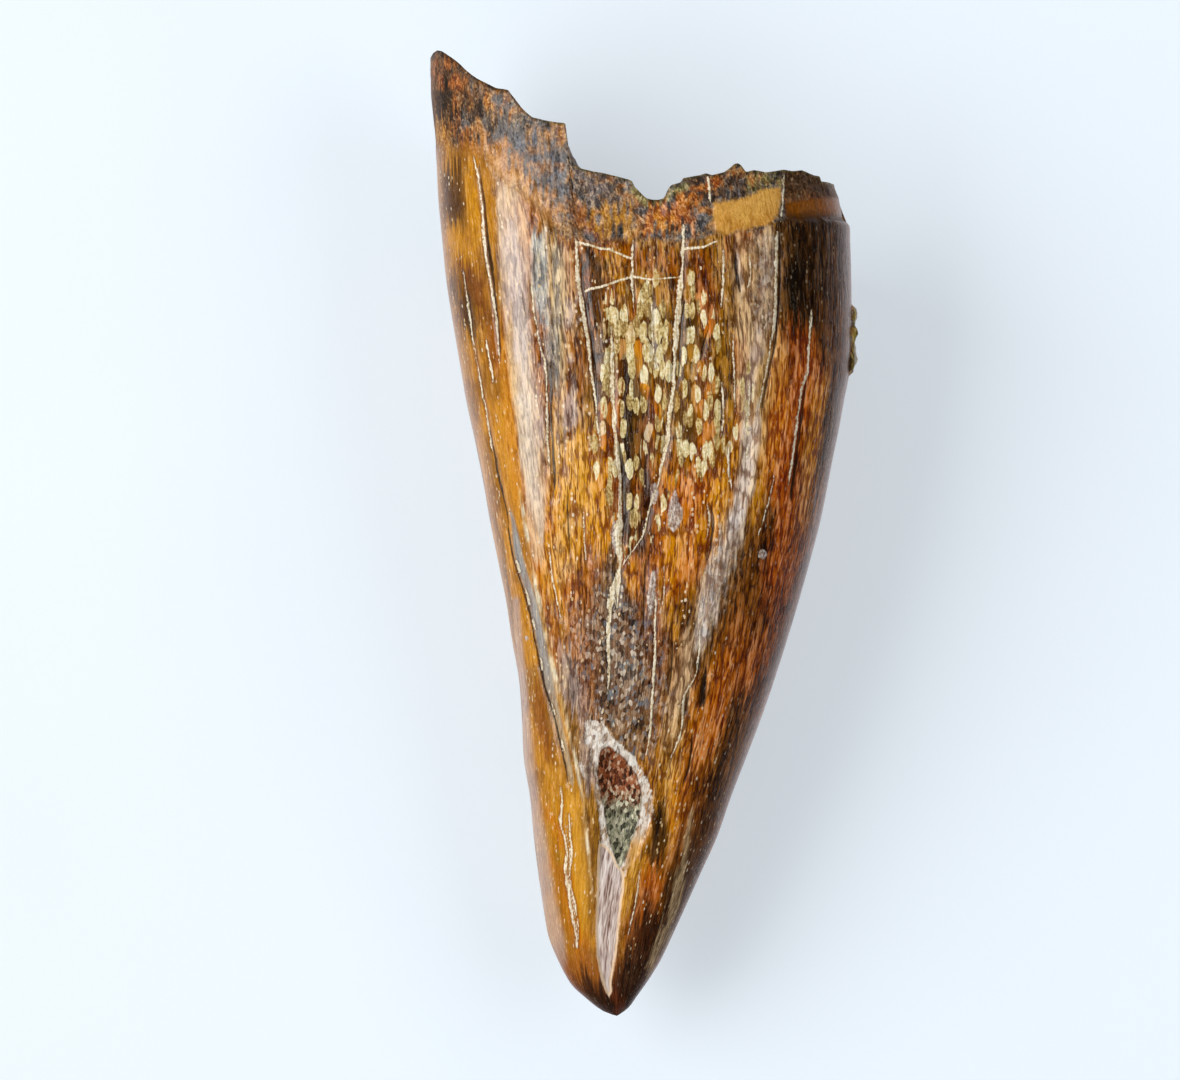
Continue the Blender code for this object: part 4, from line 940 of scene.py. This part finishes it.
quads, tris = [], []
k = np.arange(COLUMNS)
m = (k + 1) % COLUMNS
for r in range(ROWS - 1):
    a = r * COLUMNS
    quads.append(np.stack([a + k, a + m, a + COLUMNS + m, a + COLUMNS + k], 1))
cap0 = ROWS * COLUMNS
quads.append(np.stack([cap0 + k, cap0 + m, m, k], 1))
for r in range(CAP_RINGS - 1):
    a = cap0 + r * COLUMNS
    quads.append(np.stack([a + COLUMNS + k, a + COLUMNS + m, a + m, a + k], 1))
hub_i = cap0 + CAP_RINGS * COLUMNS
tip_i = hub_i + 1
a = cap0 + (CAP_RINGS - 1) * COLUMNS
tris.append(np.stack([np.full(COLUMNS, hub_i), a + m, a + k], 1))
a = (ROWS - 1) * COLUMNS
tris.append(np.stack([a + k, a + m, np.full(COLUMNS, tip_i)], 1))
quads, tris = np.concatenate(quads), np.concatenate(tris)

mesh = bpy.data.meshes.new("tooth_crown")
mesh.vertices.add(len(verts))
mesh.vertices.foreach_set("co", verts.astype(np.float32).ravel())
loops = np.concatenate([quads.ravel(), tris.ravel()])
mesh.loops.add(len(loops))
mesh.loops.foreach_set("vertex_index", loops.astype(np.int32))
starts = np.concatenate([np.arange(len(quads)) * 4, len(quads) * 4 + np.arange(len(tris)) * 3])
mesh.polygons.add(len(starts))
mesh.polygons.foreach_set("loop_start", starts.astype(np.int32))
mesh.update(calc_edges=True)
mesh.validate()
mesh.shade_smooth()


def whole(grid, cap=0.0, hub_value=None, tip_value=None):
    """A value for every vertex: the grid's, the cap's, the hub's, the tip's."""
    cap = np.broadcast_to(np.asarray(cap, float), (CAP_RINGS, COLUMNS))
    hub_v = float(cap[-1].mean()) if hub_value is None else hub_value
    tip_v = grid[-1].mean() if tip_value is None else tip_value
    return np.concatenate([grid.ravel(), cap.ravel(), [hub_v, tip_v]])


def attribute(name, *parts):
    data = mesh.attributes.new(name, "FLOAT_VECTOR", "POINT")
    data.data.foreach_set("vector", np.stack(parts, 1).astype(np.float32).ravel())


# Flow coordinates: lines along the crown, drawing together towards the tip.
def flow_of(px, py, up, mid_x, wide):
    q = (px - mid_x) * np.sqrt(404.0 / np.maximum(wide, 30.0))
    return q / 100, up / 100, py / 100


fx, fy, fz = flow_of(PXF, PYF, 165.0 * S, middle, right - left)
cx, cy, cz = flow_of(cap_px, cap_py, (cap_z - hub_z) / STEP, middle[0][None, :], 404.0)
cap_rr = np.repeat(cap_r[:, None], COLUMNS, 1)
attribute("flow",
          np.concatenate([fx.ravel(), cx.ravel(), [0, fx[-1].mean()]]),
          np.concatenate([fy.ravel(), cy.ravel(), [0, 0]]),
          np.concatenate([fz.ravel(), cz.ravel(), [cap_py[-1].mean() / 100, 10.19]]))
cap_mid = layered(cap_px / 6.0, cap_z / 0.18, cap_py / 14.0, 28, 3, 0.6)
cap_pig = np.zeros((CAP_RINGS, COLUMNS, 3))
cap_pig[:] = lin(120, 98, 76)[:3]
for colour, mk in ((SLATE, 0.8 * step(0.46, 0.6, 1 - cap_mid)), (TAN, 0.8 * step(0.50, 0.6, cap_mid)),
                   (lin(206, 140, 66), 0.7 * step(0.6, 0.7, cap_mid)), (UMBER, 0.85 * (1 - step(0.1, 0.5, cap_rr)))):
    cap_pig = cap_pig + (np.array(colour[:3]) - cap_pig) * mk[..., None]
warm = (step(0, 26, from_crest2) * FRONT * (1 - bare_m))[..., None]
deep = step(520, 640, PYF)[..., None]
pigment = pigment * (1 + warm * (np.array([0.22, 0.03, -0.45]) - deep * np.array([0.16, 0.14, 0.05])))
grey = pigment.mean(-1, keepdims=True)
pigment = np.clip(grey + (pigment - grey) * 1.04, 0.0008, 1)
attribute("pigment", *(whole(pigment[..., i], cap_pig[..., i]) for i in range(3)))
attribute("texture_a", whole(streaky, 0.3), whole(mottle, 0.2), whole(cream, 0.0))
attribute("texture_b", whole(milk_sheen, 0.0), whole(bare_m, 1.0), whole(np.maximum(smooth_m, calm), 0.0))
attribute("lines_a", whole(pale_off, 12), whole(pale_w, -5), whole(dark_off, 12))
attribute("lines_b", whole(dark_w, -5), whole(np.clip(cross_a, -40, 40), 40), whole(cross_wa, -3))
attribute("lines_c", whole(np.clip(cross_b, -40, 40), 40), whole(cross_wb, -3), whole(spot, -30))
attribute("wear", whole(np.clip(chip, -60, 60), -60), whole(np.clip(rim_d, -60, 60), -60), whole(np.clip(facet, -60, 60), -60))
attribute("plan", whole(PXF, 648.0), whole(PYF, 200.0), whole(GIRTH, 648.0))
crown = bpy.data.objects.new("tooth_crown", mesh)
bpy.context.scene.collection.objects.link(crown)


# ------------------------------------------------------------------ materials
class Nodes:
    """Short calls for building a node tree."""

    def __init__(self, name):
        self.material = bpy.data.materials.new(name)
        self.material.use_nodes = True
        self.tree = self.material.node_tree
        self.shader = self.tree.nodes["Principled BSDF"]
        self.count = 0

    def new(self, kind, **settings):
        node = self.tree.nodes.new(kind)
        node.location = (-220 * (self.count // 12) - 400, -160 * (self.count % 12))
        self.count += 1
        for key, value in settings.items():
            setattr(node, key, value)
        return node

    def put(self, socket, value):
        if isinstance(value, bpy.types.NodeSocket):
            self.tree.links.new(value, socket)
        else:
            socket.default_value = value

    def math(self, op, a, b=0.0, c=0.0, clamp=False):
        node = self.new("ShaderNodeMath", operation=op, use_clamp=clamp)
        self.put(node.inputs[0], a)
        self.put(node.inputs[1], b)
        if op in ("MULTIPLY_ADD", "SMOOTH_MIN", "SMOOTH_MAX", "COMPARE"):
            self.put(node.inputs[2], c)
        return node.outputs[0]

    def add(self, a, b): return self.math("ADD", a, b)
    def sub(self, a, b): return self.math("SUBTRACT", a, b)
    def mul(self, a, b): return self.math("MULTIPLY", a, b)
    def mad(self, a, b, c): return self.math("MULTIPLY_ADD", a, b, c)
    def sat(self, a): return self.math("ADD", a, 0.0, clamp=True)
    def inv(self, a): return self.math("SUBTRACT", 1.0, a)
    def top(self, a, b): return self.math("MAXIMUM", a, b)
    def mag(self, a): return self.math("ABSOLUTE", a)
    def c(self, value, k): return self.mad(value, k, -0.5 * k)

    def remap(self, value, a, b, lo=0.0, hi=1.0, kind="SMOOTHSTEP"):
        node = self.new("ShaderNodeMapRange", interpolation_type=kind, clamp=True)
        self.put(node.inputs["Value"], value)
        self.put(node.inputs["From Min"], a)
        self.put(node.inputs["From Max"], b)
        self.put(node.inputs["To Min"], lo)
        self.put(node.inputs["To Max"], hi)
        return node.outputs["Result"]

    def mix(self, factor, a, b, blend="MIX"):
        node = self.new("ShaderNodeMix", data_type="RGBA", blend_type=blend, clamp_factor=True)
        self.put(node.inputs["Factor"], factor)
        self.put(node.inputs[6], a)
        self.put(node.inputs[7], b)
        return node.outputs[2]

    def gamma(self, colour, power):
        node = self.new("ShaderNodeGamma")
        self.put(node.inputs[0], colour)
        node.inputs[1].default_value = power
        return node.outputs[0]

    def ramp(self, value, stops):
        node = self.new("ShaderNodeValToRGB")
        ramp = node.color_ramp
        while len(ramp.elements) < len(stops):
            ramp.elements.new(0.5)
        for element, (at, colour) in zip(ramp.elements, stops):
            element.position = at
            element.color = colour
        self.put(node.inputs[0], value)
        return node.outputs[0]

    def attribute(self, name):
        node = self.new("ShaderNodeAttribute", attribute_name=name)
        return node.outputs["Vector"]

    def split(self, vector):
        node = self.new("ShaderNodeSeparateXYZ")
        self.put(node.inputs[0], vector)
        return node.outputs[0], node.outputs[1], node.outputs[2]

    def scaled(self, vector, across, along, offset=(0, 0, 0)):
        """Coordinates in which a feature of the given plan size is one unit."""
        node = self.new("ShaderNodeMapping")
        self.put(node.inputs["Vector"], vector)
        node.inputs["Scale"].default_value = (100 / across, 100 / across, 100 / along)
        node.inputs["Location"].default_value = offset
        return node.outputs[0]

    def noise(self, vector, detail=2.0, rough=0.5, distortion=0.0, scale=1.0):
        node = self.new("ShaderNodeTexNoise")
        self.put(node.inputs["Vector"], vector)
        node.inputs["Scale"].default_value = scale
        node.inputs["Detail"].default_value = detail
        node.inputs["Roughness"].default_value = rough
        node.inputs["Distortion"].default_value = distortion
        return node.outputs["Fac"]

    def cells(self, vector, randomness=1.0):
        node = self.new("ShaderNodeTexVoronoi", feature="F1")
        self.put(node.inputs["Vector"], vector)
        node.inputs["Scale"].default_value = 1.0
        node.inputs["Randomness"].default_value = randomness
        return node


def make_enamel():
    n = Nodes("fossil_enamel_skin")
    flow = n.attribute("flow")
    pigment = n.attribute("pigment")
    streaky, mottle, cream = n.split(n.attribute("texture_a"))
    milk_sheen, bare, smooth = n.split(n.attribute("texture_b"))
    pale_off, pale_w, dark_off = n.split(n.attribute("lines_a"))
    dark_w, cross_a, cross_wa = n.split(n.attribute("lines_b"))
    cross_b, cross_wb, spot = n.split(n.attribute("lines_c"))
    chip, rim, facet = n.split(n.attribute("wear"))
    px, py, girth = n.split(n.attribute("plan"))

    streak = n.noise(n.scaled(flow, 7.0, 58, (3.1, 0, 0)), 3, 0.62, 0.2)
    fine = n.noise(n.scaled(flow, 2.7, 15, (7.7, 1, 0)), 1.5, 0.6)
    grit = n.noise(n.scaled(flow, 2.0, 3.0, (1.7, 5, 0)), 1.0, 0.6)
    wrinkle = n.noise(n.scaled(flow, 6.4, 46, (17.7, 3, 0)), 2, 0.55, 0.3)
    enamel = n.inv(bare)
    rough_bare = n.mul(bare, n.inv(n.mul(smooth, 0.85)))

    # long rounded cells lie along the crown, each a little lighter or darker
    across = n.mad(n.c(wrinkle, 1.0), 0.9, n.mul(girth, 1 / 6.9))
    along = n.mad(n.c(streak, 1.0), 0.8, n.mul(py, 1 / 19.0))
    spread = n.new("ShaderNodeCombineXYZ")
    n.put(spread.inputs[0], across)
    n.put(spread.inputs[1], along)
    cell = n.cells(spread.outputs[0], 0.78)
    cell.voronoi_dimensions = "2D"
    pick, tint, size = n.split(cell.outputs["Color"])
    far = n.add(cell.outputs["Distance"], n.c(fine, 0.26))
    within = n.mul(streaky, enamel)

    # tone: light and dark streaks in the painted pigment
    t = n.add(n.c(streak, 2.6), n.c(fine, 3.0))
    t = n.mul(n.add(t, n.c(tint, 0.75)), streaky)
    t = n.mul(n.mul(t, n.mad(bare, -0.75, 1.0)), n.mad(smooth, -0.8, 1.0))
    t = n.add(t, n.mul(n.c(grit, 2.0), n.mad(rough_bare, 1.3, 0.42)))
    t = n.add(t, n.mul(n.c(grit, 1.6), mottle))
    darker = n.mix(0.5, n.gamma(pigment, 1.7), lin(20, 11, 4))
    grey = n.new("ShaderNodeRGBToBW")
    n.put(grey.inputs[0], pigment)
    pale_share = n.remap(grey.outputs[0], 0.03, 0.26, 0.05, 0.44)
    lighter = n.mix(pale_share, n.mix(1.0, pigment, (1.7, 1.62, 1.4, 1), "MULTIPLY"), lin(228, 206, 160))
    body = n.mix(n.remap(t, -0.04, -0.90, 0.0, 0.97, "LINEAR"), pigment, darker)
    body = n.mix(n.remap(t, 0.0, 0.85, 0.0, 0.9, "LINEAR"), body, lighter)
    # the cells' dark outlines, and thin dark wrinkles
    outline = n.mul(n.mul(n.remap(far, 0.46, 0.60), within), n.remap(streak, 0.66, 0.46))
    thin = n.remap(n.mag(n.sub(wrinkle, 0.5)), 0.060, 0.018)
    thin = n.mul(n.mul(thin, within), n.remap(fine, 0.60, 0.44))
    inky = n.mix(0.6, n.gamma(pigment, 2.0), lin(22, 12, 4))
    body = n.mix(n.mul(n.top(thin, outline), n.mad(milk_sheen, -0.25, 0.80)), body, inky)
    gaps = n.mul(n.mul(n.remap(far, 0.40, 0.54), n.remap(px, 668.0, 698.0)), n.mul(milk_sheen, n.remap(py, 300.0, 460.0, 0.35, 1.0)))
    body = n.mix(n.mul(gaps, 0.72), body, n.mix(pick, lin(146, 84, 36), lin(92, 54, 34)))
    # pale flecks along the streaks
    fleck = n.mul(n.remap(n.add(fine, n.c(grit, 0.5)), 0.63, 0.71), n.mul(within, n.mad(milk_sheen, 0.4, 0.6)))
    body = n.mix(n.mul(fleck, n.mad(pale_share, 1.3, 0.08)), body, n.mix(0.35, pigment, lin(232, 216, 184)))

    # cream flakes: the cells that turned pale, each with its dark outline
    radius = n.add(n.mad(size, 0.15, 0.43), n.remap(cream, 0.72, 0.98, 0.0, 0.10))
    chosen = n.remap(n.sub(n.mul(cream, 1.05), pick), -0.01, 0.03)
    flake = n.mul(chosen, n.remap(n.sub(far, radius), 0.045, -0.035))
    seam = n.mul(n.remap(n.sub(n.mul(cream, 1.35), pick), 0.0, 0.2), n.inv(n.remap(n.sub(far, radius), 0.0, -0.07)))
    flake_colour = n.ramp(n.add(n.mul(tint, 0.55), n.add(n.c(grit, 1.3), n.c(fine, 0.6))),
                          [(0.0, lin(146, 116, 60)), (0.18, lin(194, 168, 104)), (0.40, lin(222, 206, 152)), (0.66, lin(242, 236, 204))])
    flake_colour = n.mix(n.remap(size, 0.80, 0.95), flake_colour, n.mix(1.0, pigment, (1.35, 1.4, 1.4, 1), "MULTIPLY"))
    body = n.mix(n.mul(seam, n.mul(cream, 0.80)), body, n.mix(0.7, pigment, lin(32, 18, 6)))
    body = n.mix(n.mul(flake, 0.86), body, flake_colour)

    # granular mottling
    grains = n.cells(n.scaled(flow, 3.9, 5.0, (2.3, 4.2, 0)), 1.0)
    ga, gb, _ = n.split(grains.outputs["Color"])
    mottled = n.ramp(n.add(n.mul(ga, 0.85), n.c(fine, 0.7)),
                     [(0.02, lin(20, 12, 8)), (0.22, lin(64, 38, 22)), (0.45, lin(120, 78, 46)), (0.68, lin(164, 136, 108)),
                      (0.9, lin(228, 214, 196))])
    mottled = n.mix(n.remap(gb, 0.80, 0.90), mottled, lin(118, 122, 128))
    body = n.mix(n.mul(mottle, 0.72), body, mottled)
    dot = n.mul(n.mul(n.remap(grains.outputs["Distance"], 0.46, 0.30), n.remap(gb, 0.70, 0.78)),
                n.mul(enamel, n.mul(n.remap(wrinkle, 0.50, 0.57), n.mul(n.remap(px, 742.0, 700.0, 0.25, 1.0), n.remap(py, 930.0, 975.0, 1.0, 0.22)))))
    body = n.mix(n.mul(dot, 0.75), body, n.mix(ga, lin(224, 190, 130), lin(240, 226, 200)))

    # bare dentine: dark pores, pale and orange grains
    pore = n.mul(rough_bare, n.remap(n.add(ga, n.c(grit, 0.5)), 0.38, 0.20))
    crumb = n.mul(rough_bare, n.remap(n.add(gb, n.c(grit, 0.4)), 0.92, 1.02))
    body = n.mix(n.mul(pore, 0.72), body, n.mix(0.4, n.gamma(pigment, 1.8), lin(18, 12, 7)))
    body = n.mix(n.mul(crumb, 0.32), body, n.mix(ga, lin(200, 132, 60), lin(214, 190, 156)))

    # lines: dark, then pale mineral in the cracks, then spots
    jit = n.add(n.c(grit, 2.6), n.c(fine, 2.0))
    line_m = n.remap(n.sub(n.mad(jit, 0.5, dark_w), n.mag(dark_off)), -0.6, 0.5)
    body = n.mix(n.mul(line_m, 0.88), body, lin(28, 15, 6))
    pale_in = n.sub(n.mad(jit, 0.9, pale_w), n.mag(n.mad(jit, 0.35, pale_off)))
    shade = n.mul(n.remap(pale_in, -2.6, -0.8), n.inv(bare))
    body = n.mix(n.mul(shade, 0.5), body, n.mix(0.5, n.gamma(pigment, 1.8), lin(34, 18, 7)))
    pale_m = n.remap(pale_in, -0.45, 0.55)
    thin_a = n.remap(n.sub(n.mad(jit, 0.4, cross_wa), n.mag(cross_a)), -0.6, 0.5)
    thin_b = n.remap(n.sub(n.mad(jit, 0.5, cross_wb), n.mag(cross_b)), -0.6, 0.5)
    pale_m = n.top(pale_m, n.top(thin_a, thin_b))
    pale_colour = n.ramp(n.add(grit, n.c(fine, 0.6)),
                         [(0.25, lin(176, 146, 100)), (0.45, lin(222, 204, 166)), (0.65, lin(246, 238, 216))])
    spot_m = n.remap(n.add(spot, n.mul(jit, 0.6)), -0.8, 1.0)
    spot_colour = n.ramp(n.add(grit, n.c(ga, 0.4)),
                         [(0.25, lin(128, 104, 92)), (0.5, lin(182, 168, 158)), (0.72, lin(226, 220, 210))])
    body = n.mix(n.mul(spot_m, 0.85), body, spot_colour)
    body = n.mix(n.mul(pale_m, 0.92), body, pale_colour)

    # the chip, its rim, and the facet
    # the chip's rim: pale broken enamel, with a painted highlight where the break faces the light, widest on that side
    rim_m = n.mul(n.remap(n.add(rim, n.mul(jit, 1.5)), -0.4, 2.2), n.remap(n.add(streak, n.c(ga, 0.5)), 0.22, 0.46, 0.35, 1.0))
    rim_low = n.mul(n.remap(py, 822.0, 850.0), n.remap(px, 620.0, 632.0))
    rim_break_and_highlight = n.ramp(n.add(n.mul(grit, 0.6), n.mul(ga, 0.45)),
                        [(0.15, lin(128, 96, 76)), (0.32, lin(190, 172, 154)), (0.5, lin(226, 216, 204)), (0.7, lin(246, 243, 236))])
    rim_gold = n.ramp(streak, [(0.3, lin(176, 112, 40)), (0.5, lin(220, 168, 92)), (0.7, lin(240, 208, 150))])
    rim_break_and_highlight = n.mix(rim_low, rim_break_and_highlight, rim_gold)
    body = n.mix(n.mul(rim_m, 0.85), body, rim_break_and_highlight)
    chip_m = n.remap(n.add(chip, n.mul(jit, 0.6)), -0.8, 1.4)
    hollow_top = n.ramp(n.add(n.mul(ga, 0.7), n.c(grit, 0.8)),
                        [(0.02, lin(40, 18, 8)), (0.25, lin(122, 58, 22)), (0.45, lin(164, 98, 58)), (0.72, lin(214, 186, 158))])
    hollow_low = n.ramp(n.add(n.mul(ga, 0.7), n.c(grit, 0.8)),
                        [(0.02, lin(44, 44, 34)), (0.22, lin(110, 110, 88)), (0.42, lin(160, 158, 132)), (0.7, lin(222, 216, 190))])
    hollow = n.mix(n.remap(n.add(py, n.c(ga, 22.0)), 790.0, 812.0), hollow_top, hollow_low)
    # painted shade just inside the chip's edge
    hollow = n.mix(n.mul(n.remap(chip, 3.4, 0.4), 0.5), hollow, lin(40, 26, 16))
    body = n.mix(chip_m, body, hollow)
    # the worn facet: pale lilac, partly a painted reflection on its flat face
    facet_m = n.remap(n.add(facet, n.mul(jit, 0.5)), -0.8, 0.8)
    facet_wear_and_sheen = n.ramp(n.add(n.c(fine, 1.5), streak),
                          [(0.18, lin(116, 86, 76)), (0.38, lin(174, 152, 144)), (0.55, lin(208, 190, 184)), (0.8, lin(238, 228, 222))])
    facet_wear_and_sheen = n.mix(n.remap(facet, 3.2, 1.4), facet_wear_and_sheen, n.mix(fine, lin(222, 180, 130), lin(246, 228, 204)))
    body = n.mix(n.mul(facet_m, 0.93), body, facet_wear_and_sheen)

    n.put(n.shader.inputs["Base Color"], body)
    rough = n.add(n.mad(fine, 0.20, 0.10), n.mul(n.c(streak, 0.14), streaky))
    rough = n.add(rough, n.mul(n.top(flake, mottle), 0.12))
    rough = n.add(rough, n.mul(milk_sheen, 0.08))
    rough = n.top(rough, n.mul(pale_m, 0.5))
    rough = n.top(rough, n.mul(rough_bare, 0.6))
    rough = n.top(rough, n.mul(chip_m, 0.62))
    n.put(n.shader.inputs["Roughness"], n.sat(rough))

    height = n.mul(n.add(n.mul(streak, 0.8), n.mul(fine, 0.62)), n.mad(streaky, 0.8, 0.2))
    height = n.add(height, n.mul(grit, n.mad(n.add(rough_bare, mottle), 0.9, 0.10)))
    height = n.sub(height, n.mul(thin, 0.35))
    height = n.add(height, n.mul(ga, n.mul(n.add(rough_bare, n.add(n.mul(mottle, 0.6), chip_m)), 0.9)))
    height = n.add(height, n.mul(pale_m, 0.3))
    height = n.sub(height, n.mul(line_m, 0.6))
    bump = n.new("ShaderNodeBump")
    bump.inputs["Strength"].default_value = 1.0
    bump.inputs["Distance"].default_value = 0.00004
    n.put(bump.inputs["Height"], height)
    n.put(n.shader.inputs["Normal"], bump.outputs[0])
    n.shader.inputs["IOR"].default_value = 1.5
    n.shader.inputs["Specular IOR Level"].default_value = 0.32
    n.shader.inputs["Coat Weight"].default_value = 0.30
    n.shader.inputs["Coat Roughness"].default_value = 0.08
    n.shader.inputs["Coat IOR"].default_value = 1.5
    return n.material


crown.data.materials.append(make_enamel())
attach(crown, "root")
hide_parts("tooth")


# ---------------------------------------------------- floor, light and camera
def make_floor():
    n = Nodes("pale_floor")
    coords = n.new("ShaderNodeTexCoord").outputs["Object"]
    cloud = n.noise(coords, 3, 0.5, 0.0, 60.0)
    n.put(n.shader.inputs["Base Color"], n.mix(cloud, lin(168, 178, 189), lin(176, 186, 196)))
    n.shader.inputs["Emission Color"].default_value = lin(232, 240, 247)
    n.shader.inputs["Emission Strength"].default_value = 0.52
    n.put(n.shader.inputs["Roughness"], n.mad(cloud, 0.1, 0.8))
    n.shader.inputs["Specular IOR Level"].default_value = 0.2
    bpy.ops.mesh.primitive_plane_add(size=1.6, location=(0, 0, 0))
    floor = bpy.context.active_object
    floor.name = "floor"
    floor.data.materials.append(n.material)
    floor.visible_glossy = False
    return floor


make_floor()


def area(name, azimuth, tilt, distance, size, size_y, power, colour=(1, 1, 1), glossy=True):
    """A soft light aimed at the object; tilt is its angle from straight up."""
    data = bpy.data.lights.new(name, "AREA")
    data.shape = "RECTANGLE"
    data.size, data.size_y = size, size_y
    data.energy = power
    data.color = colour
    obj = bpy.data.objects.new(name, data)
    a, t = math.radians(azimuth), math.radians(tilt)
    where = np.array([math.sin(t) * math.cos(a), math.sin(t) * math.sin(a), math.cos(t)]) * distance
    obj.location = where.tolist()
    obj.rotation_euler = (-Vector(where)).to_track_quat("-Z", "Y").to_euler()
    obj.visible_glossy = glossy
    bpy.context.scene.collection.objects.link(obj)


area("light_left", 172, 46, 0.34, 0.30, 0.24, 1.16, (1.0, 0.985, 0.96))
area("light_right", 5, 44, 0.34, 0.30, 0.20, 0.40, (1.0, 0.98, 0.955), False)
area("light_back", 90, 62, 0.40, 0.50, 0.22, 0.38, (1, 1, 1), False)
area("light_front", -90, 62, 0.40, 0.50, 0.22, 0.34, (1, 1, 1), False)

world = bpy.data.worlds.new("studio")
world.use_nodes = True
tree = world.node_tree
where = tree.nodes.new("ShaderNodeTexCoord")
parts = tree.nodes.new("ShaderNodeSeparateXYZ")
ramp = tree.nodes.new("ShaderNodeValToRGB")
half_up = tree.nodes.new("ShaderNodeMath")
half_up.operation = "MULTIPLY_ADD"
half_up.inputs[1].default_value = 0.5
half_up.inputs[2].default_value = 0.5
tree.links.new(where.outputs["Generated"], parts.inputs[0])
tree.links.new(parts.outputs[2], half_up.inputs[0])
tree.links.new(half_up.outputs[0], ramp.inputs[0])
stops = [(0.0, 0.70), (0.07, 0.60), (0.17, 0.09), (0.52, 0.04), (0.70, 0.26), (0.86, 0.30), (0.95, 0.05), (1.0, 0.03)]
while len(ramp.color_ramp.elements) < len(stops):
    ramp.color_ramp.elements.new(0.5)
for element, (at, v) in zip(ramp.color_ramp.elements, stops):
    element.position = at
    element.color = (v, v * 0.95, v * (0.86 if at > 0.3 else 1.0), 1)
tree.links.new(ramp.outputs[0], tree.nodes["Background"].inputs["Color"])
# the right side of the room is dim
dim = tree.nodes.new("ShaderNodeMapRange")
dim.inputs["From Min"].default_value = -0.1
dim.inputs["From Max"].default_value = 0.45
dim.inputs["To Min"].default_value = 1.0
dim.inputs["To Max"].default_value = 0.22
low = tree.nodes.new("ShaderNodeMath")
low.operation = "LESS_THAN"
low.inputs[1].default_value = -0.35
pick = tree.nodes.new("ShaderNodeMath")
pick.operation = "MAXIMUM"
tree.links.new(parts.outputs[0], dim.inputs["Value"])
tree.links.new(parts.outputs[2], low.inputs[0])
tree.links.new(dim.outputs["Result"], pick.inputs[0])
tree.links.new(low.outputs[0], pick.inputs[1])
tree.links.new(pick.outputs[0], tree.nodes["Background"].inputs["Strength"])
bpy.context.scene.world = world
bpy.context.scene.view_settings.view_transform = "Standard"

cam_data = bpy.data.cameras.new("camera")
cam_data.lens = LENS
cam_data.sensor_width = SENSOR
cam_data.clip_start = 0.005
camera = bpy.data.objects.new("camera", cam_data)
camera.location = ((VIEW_X - X0) * STEP * 0.001, (Y0 - VIEW_Y) * STEP * 0.001, (PLANE + DISTANCE) * 0.001)
camera.rotation_euler = (0, 0, 0)
bpy.context.scene.collection.objects.link(camera)
bpy.context.scene.camera = camera
